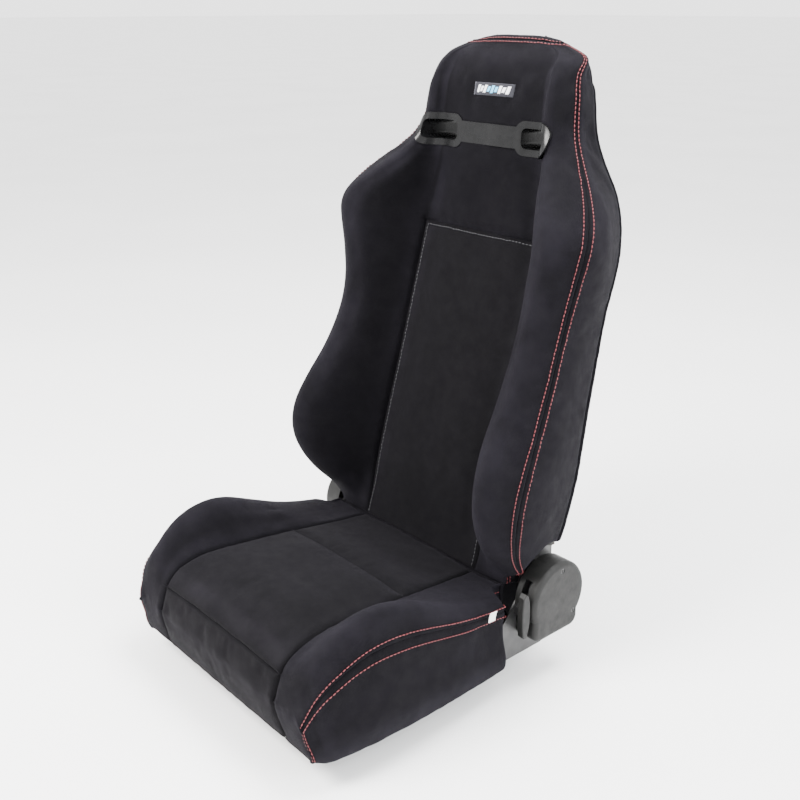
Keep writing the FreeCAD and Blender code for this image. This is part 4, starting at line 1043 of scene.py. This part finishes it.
def lockstitches(path, out):
    """Vertices and faces of a row of separate raised stitches along a path."""
    reach = reach_of(path)
    starts = np.arange(STITCH_PITCH, reach[-1] - STITCH_PITCH, STITCH_PITCH)
    t = np.linspace(0, 1, 6)
    arch = np.sin(np.pi * t)
    radius = THREAD_RADIUS
    parts = []
    for start in starts:
        at = start + STITCH_LENGTH * t
        centre = read_line(at, reach, path)
        up = read_line(at, reach, out)
        up /= np.linalg.norm(up, axis=1)[:, None]
        centre = centre + up * (0.95 * radius * arch - 0.35 * radius)[:, None]
        parts.append(tube_rings(centre, radius * (0.55 + 0.45 * arch), 6, up))
    return merge(parts)


def path_of(panel, index):
    """A line of a finished panel, with the surface's outward directions there."""
    return panel.final[index], normals(panel.final, panel.inside)[index]


def stitch_piece(name, rows, body, finishes, thread="red_thread"):
    """One piece made of several rows of stitches."""
    vertices, faces = merge(lockstitches(path, out) for path, out in rows)
    add_piece(name, vertices, faces, body, "woven_fabric", finishes[thread])


def outline_path(panel, across, over):
    """Up one side of a panel, over its top and down the other, a little inside its edge."""
    rows, columns = panel.grid.shape[:2]
    up = [(r, across) for r in range(0, rows - over)]
    top = [(rows - 1 - over, c) for c in range(across, columns - across)]
    down = [(r, columns - 1 - across) for r in range(rows - 1 - over, -1, -1)]
    index = np.array(up + top + down)
    return path_of(panel, (index[:, 0], index[:, 1]))


def make_stitches(back, cushion, finishes):
    step = STITCH_STEP
    yoke, band, insert = back["yoke"], back["band"], back["insert"]
    stitch_piece("backrest_red_stitching", [
        outline_path(yoke, step, step),
        path_of(band, np.s_[:, step]),
    ], "backrest", finishes)
    stitch_piece("backrest_insert_stitching", [outline_path(insert, step, step)], "backrest",
                 finishes, "black_thread")
    for side, edge in (("right", step), ("left", -1 - step)):
        bolster, skirt = cushion["bolster_" + side], cushion["skirt_" + side]
        rows, columns = skirt.grid.shape[:2]
        index = [(r, step) for r in range(rows - step)]
        index += [(rows - 1 - step, c) for c in range(step, columns - step)]
        index = np.array(index)
        stitch_piece("cushion_red_stitching_" + side, [
            path_of(bolster, np.s_[:-step, edge]),
            path_of(skirt, (index[:, 0], index[:, 1])),
        ], "seat_base", finishes)


FOAM_SHRINK = 9.0
FOAM_VOXEL = 9.0
FOAMS = {
    "cushion_foam_center": "cushion_core_center",
    "cushion_bolster_foam_left": "cushion_core_left",
    "cushion_bolster_foam_right": "cushion_core_right",
    "backrest_foam_center": "backrest_core_center",
    "backrest_bolster_foam_left": "backrest_core_left",
    "backrest_bolster_foam_right": "backrest_core_right",
    "headrest_foam": "headrest_core",
}


def foam_core(node, name, body, material):
    """Moulded foam under the covers: the CAD block softened, drawn in and left uneven."""
    piece = frame["nodes"][node].copy()
    piece.data = piece.data.copy()
    piece.name = name
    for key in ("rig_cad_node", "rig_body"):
        if key in piece:
            del piece[key]
    piece.parent = None
    bpy.context.scene.collection.objects.link(piece)
    piece.data.materials.clear()
    piece.data.materials.append(material)
    remesh = piece.modifiers.new("Remesh", "REMESH")
    remesh.mode = "VOXEL"
    remesh.voxel_size = FOAM_VOXEL * MM
    soften = piece.modifiers.new("Soften", "SMOOTH")
    soften.iterations = 3
    graph = bpy.context.evaluated_depsgraph_get()
    shape = bpy.data.meshes.new_from_object(piece.evaluated_get(graph))
    piece.modifiers.clear()
    piece.data = shape
    shape.name = name
    moved = []
    for vertex in shape.vertices:
        share = 0.0 if body == "seat_base" and vertex.normal.z < -0.6 else 1.0
        uneven = 1.2 * noise.noise(vertex.co / 0.03)
        moved.append(vertex.co - vertex.normal * (FOAM_SHRINK * share + uneven) * MM)
    for vertex, place in zip(shape.vertices, moved):
        vertex.co = place
    shape.polygons.foreach_set("use_smooth", [True] * len(shape.polygons))
    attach(piece, body)
    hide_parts(node)


def surface_of(panels):
    """The finished covers as one surface that trim can be laid on."""
    graph = bpy.context.evaluated_depsgraph_get()
    return [BVHTree.FromObject(panel.piece, graph) for panel in panels]


def laid(trees, points, direction, lift):
    """Points dropped onto the covers against a direction, then lifted off by lift mm."""
    points = np.asarray(points, float)
    direction = Vector(direction).normalized()
    out = []
    for point in points:
        start = Vector(to_row(point)) + direction * 0.05
        hits = [tree.ray_cast(start, -direction, 0.12) for tree in trees]
        hits = [hit for hit in hits if hit[0] is not None]
        best = min(hits, key=lambda hit: hit[3])[0] if hits else Vector(to_row(point))
        best = (best + direction * lift * MM) / MM
        out.append((best.x, best.y + ORIGIN_Y, best.z))
    return np.array(out)


BADGE_AT = 815.0
BADGE_WIDTH = 88.0
BADGE_HEIGHT = 20.0
BADGE_MARGIN = 7.0
BADGE_BLOCKS = 9


def badge_block(trees, forward, corners, lift, thick, divisions):
    """A raised patch over the headrest: a grid between four (u, s) corners, with turned edges."""
    columns, rows = divisions
    corners = np.array(corners, float)
    grid = []
    for j in range(rows + 1):
        for i in range(columns + 1):
            a, b = i / columns, j / rows
            low = corners[0] * (1 - a) + corners[1] * a
            high = corners[3] * (1 - a) + corners[2] * a
            grid.append(low * (1 - b) + high * b)
    grid = np.array(grid)
    base = on_back(grid[:, 0], grid[:, 1], np.full(len(grid), 4.0))
    top = laid(trees, base, forward, lift + thick)
    edge = [j * (columns + 1) + i for j in range(rows + 1) for i in range(columns + 1)
            if i in (0, columns) or j in (0, rows)]
    top[edge] -= np.array(forward) * 0.35 * thick
    under = top - np.array(forward) * thick
    count = len(grid)
    faces = []
    for a, b, c, d in grid_quads(rows + 1, columns + 1):
        faces.append((a, b, c, d))
        faces.append((a + count, d + count, c + count, b + count))
    ring = list(range(columns + 1)) + [j * (columns + 1) + columns for j in range(1, rows + 1)]
    ring += [rows * (columns + 1) + i for i in range(columns - 1, -1, -1)]
    ring += [j * (columns + 1) for j in range(rows - 1, 0, -1)]
    for a, b in zip(ring, ring[1:] + ring[:1]):
        faces.append((a, a + count, b + count, b))
    return np.concatenate([top, under]), faces


def make_badge(back, finishes):
    """A plain woven strip with a row of slanted blocks in place of any name."""
    trees = surface_of([back["yoke"]])
    s = np.array([BADGE_AT, BADGE_AT])
    ends = on_back(np.zeros(2), s, np.array([0.0, 1.0]))
    forward = ends[1] - ends[0]
    half, rise = BADGE_WIDTH / 2, BADGE_HEIGHT / 2
    low, high = BADGE_AT - rise, BADGE_AT + rise
    corners = [(-half, low), (half, low), (half, high), (-half, high)]
    points, faces = badge_block(trees, forward, corners, 0.0, 1.2, (30, 8))
    ground = add_piece("headrest_patch", points, faces, "backrest", "badge_cloth",
                       finishes["badge_cloth"])
    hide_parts("headrest_badge")
    groups = {"white_thread": [], "blue_thread": []}
    pitch = (BADGE_WIDTH - 2 * BADGE_MARGIN) / BADGE_BLOCKS
    for i in range(BADGE_BLOCKS):
        u = -half + BADGE_MARGIN + i * pitch
        thread = "blue_thread" if i in (3, 4, 5) else "white_thread"
        tall = 6.0 if i % 2 == 0 else 4.2
        slant = 2.4
        shape = [(u, BADGE_AT - tall), (u + pitch * 0.72, BADGE_AT - tall),
                 (u + pitch * 0.72 + slant, BADGE_AT + tall), (u + slant, BADGE_AT + tall)]
        groups[thread].append(badge_block(trees, forward, shape, 1.1, 0.9, (4, 8)))
    for thread, parts in groups.items():
        add_piece("headrest_embroidery_" + thread.split("_")[0], *merge(parts), "backrest",
                  "badge_cloth", finishes[thread])


ZIP_AT = 96.0
ZIP_HALF = 150.0
ZIP_PITCH = 3.2
BLOCK_FACES = ((0, 3, 2, 1), (4, 5, 6, 7), (0, 1, 5, 4), (1, 2, 6, 5), (2, 3, 7, 6), (3, 0, 4, 7))


def make_zip(back, finishes):
    """The zip across the bottom of the backrest's rear cover: two tapes, teeth and a puller."""
    trees = surface_of([back["rear"]])
    pair = on_back(np.zeros(2), np.array([ZIP_AT, ZIP_AT]), np.array([-1.0, 0.0]))
    backward = pair[0] - pair[1]
    up_pair = on_back(np.zeros(2), np.array([ZIP_AT - 1, ZIP_AT]), np.zeros(2))
    up = up_pair[1] - up_pair[0]
    u = np.arange(-ZIP_HALF, ZIP_HALF, ZIP_PITCH / 2)
    line = on_back(u, np.full(len(u), ZIP_AT), np.full(len(u), -90.0))
    line = laid(trees, line, backward, 0.5)
    teeth = []
    for i, centre in enumerate(line):
        shift = up * (0.8 if i % 2 else -0.8)
        tooth = [centre + shift + np.array([a * 0.55, 0, 0]) + up * b * 1.5 + backward * c * 0.9
                 for c in (-1, 1) for a, b in ((-1, -1), (1, -1), (1, 1), (-1, 1))]
        teeth.append((tooth, BLOCK_FACES))
    add_piece("backrest_zip_teeth", *merge(teeth), "backrest", "black_plastic",
              finishes["black_plastic"])
    for name, offset in (("upper", 6.5), ("lower", -6.5)):
        a = np.linspace(-ZIP_HALF - 4, ZIP_HALF + 4, 60)
        rows = []
        for t in (-4.5, -3.8, 0, 3.8, 4.5):
            strip = on_back(a, np.full(len(a), ZIP_AT + offset + t), np.full(len(a), -90.0))
            rows.append(laid(trees, strip, backward, -0.4 if abs(t) > 4 else 0.7))
        piece = add_piece("backrest_zip_tape_" + name, np.concatenate(rows),
                          grid_quads(len(rows), len(a)), "backrest", "woven_fabric",
                          finishes["badge_cloth"])
        thicken(piece, 0.8)
    puller = line[6]
    t = np.linspace(0, 1, 14)
    loop = puller + np.outer(4.0 * np.sin(np.pi * t), (1, 0, 0))
    loop = loop + np.outer(-22 * t, up) + np.outer(2.6 + 0.5 * np.sin(2 * np.pi * t), backward)
    points, made = tube_rings(loop, np.full(len(t), 1.6), 8, backward)
    add_piece("backrest_zip_puller", points, made, "backrest", "black_plastic",
              finishes["black_plastic"])


TAIL_FLAP = dict(name="cushion_tail_flap", body="seat_base", radius=73.0, angles=(172.0, 262.0),
                 rests_on=["rear_cross_tube"])
TAIL_WRAP = dict(name="backrest_tail_wrap", body="backrest", radius=64.0, angles=(150.0, 335.0),
                 rests_on=["backrest_core_center"])
TAIL_HALF = 204.0             # half of each tail's width


def make_tail(finishes, name, body, radius, angles, rests_on):
    """A cover's tail: cloth shaped round the hinge line, closing the gap behind the cushion."""
    turns = np.radians(np.linspace(*angles, 4 + int((angles[1] - angles[0]) / 4)))
    across = np.linspace(-TAIL_HALF, TAIL_HALF, 60)
    points = []
    for turn in turns:
        for u in across:
            r = radius + 0.8 * noise.noise(Vector((u / 40, turn * 2, 0.0)))
            points.append((u, HINGE_Y + r * math.cos(turn), HINGE_Z + r * math.sin(turn)))
    quads = grid_quads(len(turns), len(across))
    piece = add_piece(name, points, quads, body, "woven_fabric", finishes["woven_fabric"])
    layer = piece.data.uv_layers.new(name="grain")
    for loop in piece.data.loops:
        place = piece.data.vertices[loop.vertex_index].co
        layer.data[loop.index].uv = (place.x, place.z + place.y)
    thicken(piece, COVER_THICKNESS)


def make_tag(cushion, finishes):
    """The blank woven tag on the side of the cushion, flat and a little curled."""
    low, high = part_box("cushion_tag")
    trees = surface_of([cushion["skirt_left"]])
    rows, columns = 10, 8
    points = []
    for j in range(rows + 1):
        for i in range(columns + 1):
            y = low.y + (high.y - low.y) * i / columns
            z = high.z + 0.002 - (high.z - low.z + 0.004) * j / rows
            points.append((0.262 / MM, y / MM + ORIGIN_Y, z / MM))
    laid_points = laid(trees, points, (1, 0, 0), 0.5)
    curl = np.array([2.2 * (j / rows) ** 2 + 0.4 * math.sin(2.4 * i / columns)
                     for j in range(rows + 1) for i in range(columns + 1)])
    level = np.c_[np.ones(len(laid_points)), laid_points[:, 1:]]
    plane = level @ np.linalg.lstsq(level, laid_points[:, 0], rcond=None)[0]
    laid_points[:, 0] = plane + 0.6 * (laid_points[:, 0] - plane).max() + curl
    quads = [(a, d, c, b) for a, b, c, d in grid_quads(rows + 1, columns + 1)]
    piece = add_piece("cushion_seam_tag", laid_points, quads, "seat_base", "tag_cloth",
                      finishes["tag_cloth"])
    thicken(piece, 0.7)
    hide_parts("cushion_tag")


# ---- CAD nodes that stay -----------------------------------------------------------------
DARK_FASTENERS = ("recliner_cover_screws", "bezel_screws")


def finish_nodes(finishes):
    """Each CAD node that stays gets the finish of its own material slot."""
    slots = {part["node"]: part["material_slot"] for part in frame["record"]["subparts"]}
    for name, node in frame["nodes"].items():
        if node.hide_render:
            continue
        material = finishes["painted_steel" if name in DARK_FASTENERS else slots[name]]
        node.data.materials.clear()
        node.data.materials.append(material)


# ---- stage --------------------------------------------------------------------------------
CAMERA_AZIMUTH = 49.0
CAMERA_ELEVATION = 19.8
CAMERA_DISTANCE = 1.7051
CAMERA_TARGET = Vector((0, 0.085, 0.465))
CAMERA_LENS = 47.4
CAMERA_SHIFT = (0.0106, -0.0207)


def away(azimuth, elevation):
    """Unit vector from the target towards a viewer."""
    a, e = math.radians(azimuth), math.radians(elevation)
    return Vector((math.sin(a) * math.cos(e), -math.cos(a) * math.cos(e), math.sin(e)))


def make_camera():
    data = bpy.data.cameras.new("camera")
    camera = new_object("camera", data)
    back = away(CAMERA_AZIMUTH, CAMERA_ELEVATION)
    camera.location = CAMERA_TARGET + back * CAMERA_DISTANCE
    camera.rotation_euler = back.to_track_quat("Z", "Y").to_euler()
    data.lens = CAMERA_LENS
    data.sensor_width = 36.0
    data.shift_x, data.shift_y = CAMERA_SHIFT
    bpy.context.scene.camera = camera


def make_floor():
    """A wide, flat, pale floor."""
    finish = Finish("pale_floor")
    soft = finish.noise(0.8, 2.0)
    tone = finish.ramp(soft, [(0.3, (0.86, 0.86, 0.86)), (0.7, (0.9, 0.9, 0.9))])
    finish.set(Base_Color=tone, Roughness=0.9, Specular_IOR_Level=0.1)
    work = bmesh.new()
    bmesh.ops.create_grid(work, x_segments=40, y_segments=40, size=90.0)
    data = bpy.data.meshes.new("studio_floor")
    work.to_mesh(data)
    work.free()
    floor = new_object("studio_floor", data)
    data.materials.append(finish.material)


WORLD_STRENGTH = 2.8
# Name, azimuth and elevation in degrees, distance and diameter in m, power in W, colour.
LIGHTS = (
    ("key", -12, 44, 2.8, 1.4, 260, (1, 0.98, 0.96)),
    ("fill", 100, 28, 3.0, 1.8, 120, (0.96, 0.98, 1)),
    ("top", 150, 72, 2.6, 1.4, 150, (1, 1, 1)),
)


def add_light(name, azimuth, elevation, distance, size, power, colour):
    data = bpy.data.lights.new(name, "AREA")
    data.shape = "DISK"
    data.size = size
    data.energy = power
    data.color = colour
    light = new_object(name, data)
    direction = away(azimuth, elevation)
    light.location = CAMERA_TARGET + direction * distance
    light.rotation_euler = direction.to_track_quat("Z", "Y").to_euler()


def make_light():
    world = bpy.data.worlds.new("studio")
    bpy.context.scene.world = world
    world.use_nodes = True
    backdrop = world.node_tree.nodes["Background"]
    backdrop.inputs["Color"].default_value = (1, 1, 1, 1)
    backdrop.inputs["Strength"].default_value = WORLD_STRENGTH
    for light in LIGHTS:
        add_light(*light)


# ---- assembly -----------------------------------------------------------------------------
def run_cloth(panels):
    """Inflates every panel at once."""
    scene = bpy.context.scene
    scene.frame_start, scene.frame_end = 1, SIM_FRAMES
    for panel in panels:
        panel.hang()
    for number in range(1, SIM_FRAMES + 1):
        scene.frame_set(number)
    return True


def main():
    back = make_back_panels()
    cushion = make_cushion_panels()
    panels = [*back.values(), *cushion.values()]
    for panel in panels:
        panel.mesh()
    simulated = run_cloth(panels)
    for panel in panels:
        panel.settle(simulated)
    bpy.context.scene.frame_set(1)
    finishes = make_finishes()
    for panel in panels:
        covers = "backrest_cover" if panel.body == "backrest" else "cushion_cover"
        panel.finish(finishes[panel.slot], [covers])
    bodies = {node: body for body, nodes in frame["record"]["behaviour"]["bodies"].items()
              for node in nodes}
    for node, name in FOAMS.items():
        foam_core(node, name, bodies[node], finishes["foam"])
    make_stitches(back, cushion, finishes)
    make_badge(back, finishes)
    make_zip(back, finishes)
    make_tag(cushion, finishes)
    make_tail(finishes, **TAIL_FLAP)
    make_tail(finishes, **TAIL_WRAP)
    finish_nodes(finishes)
    make_floor()
    make_light()
    make_camera()


main()
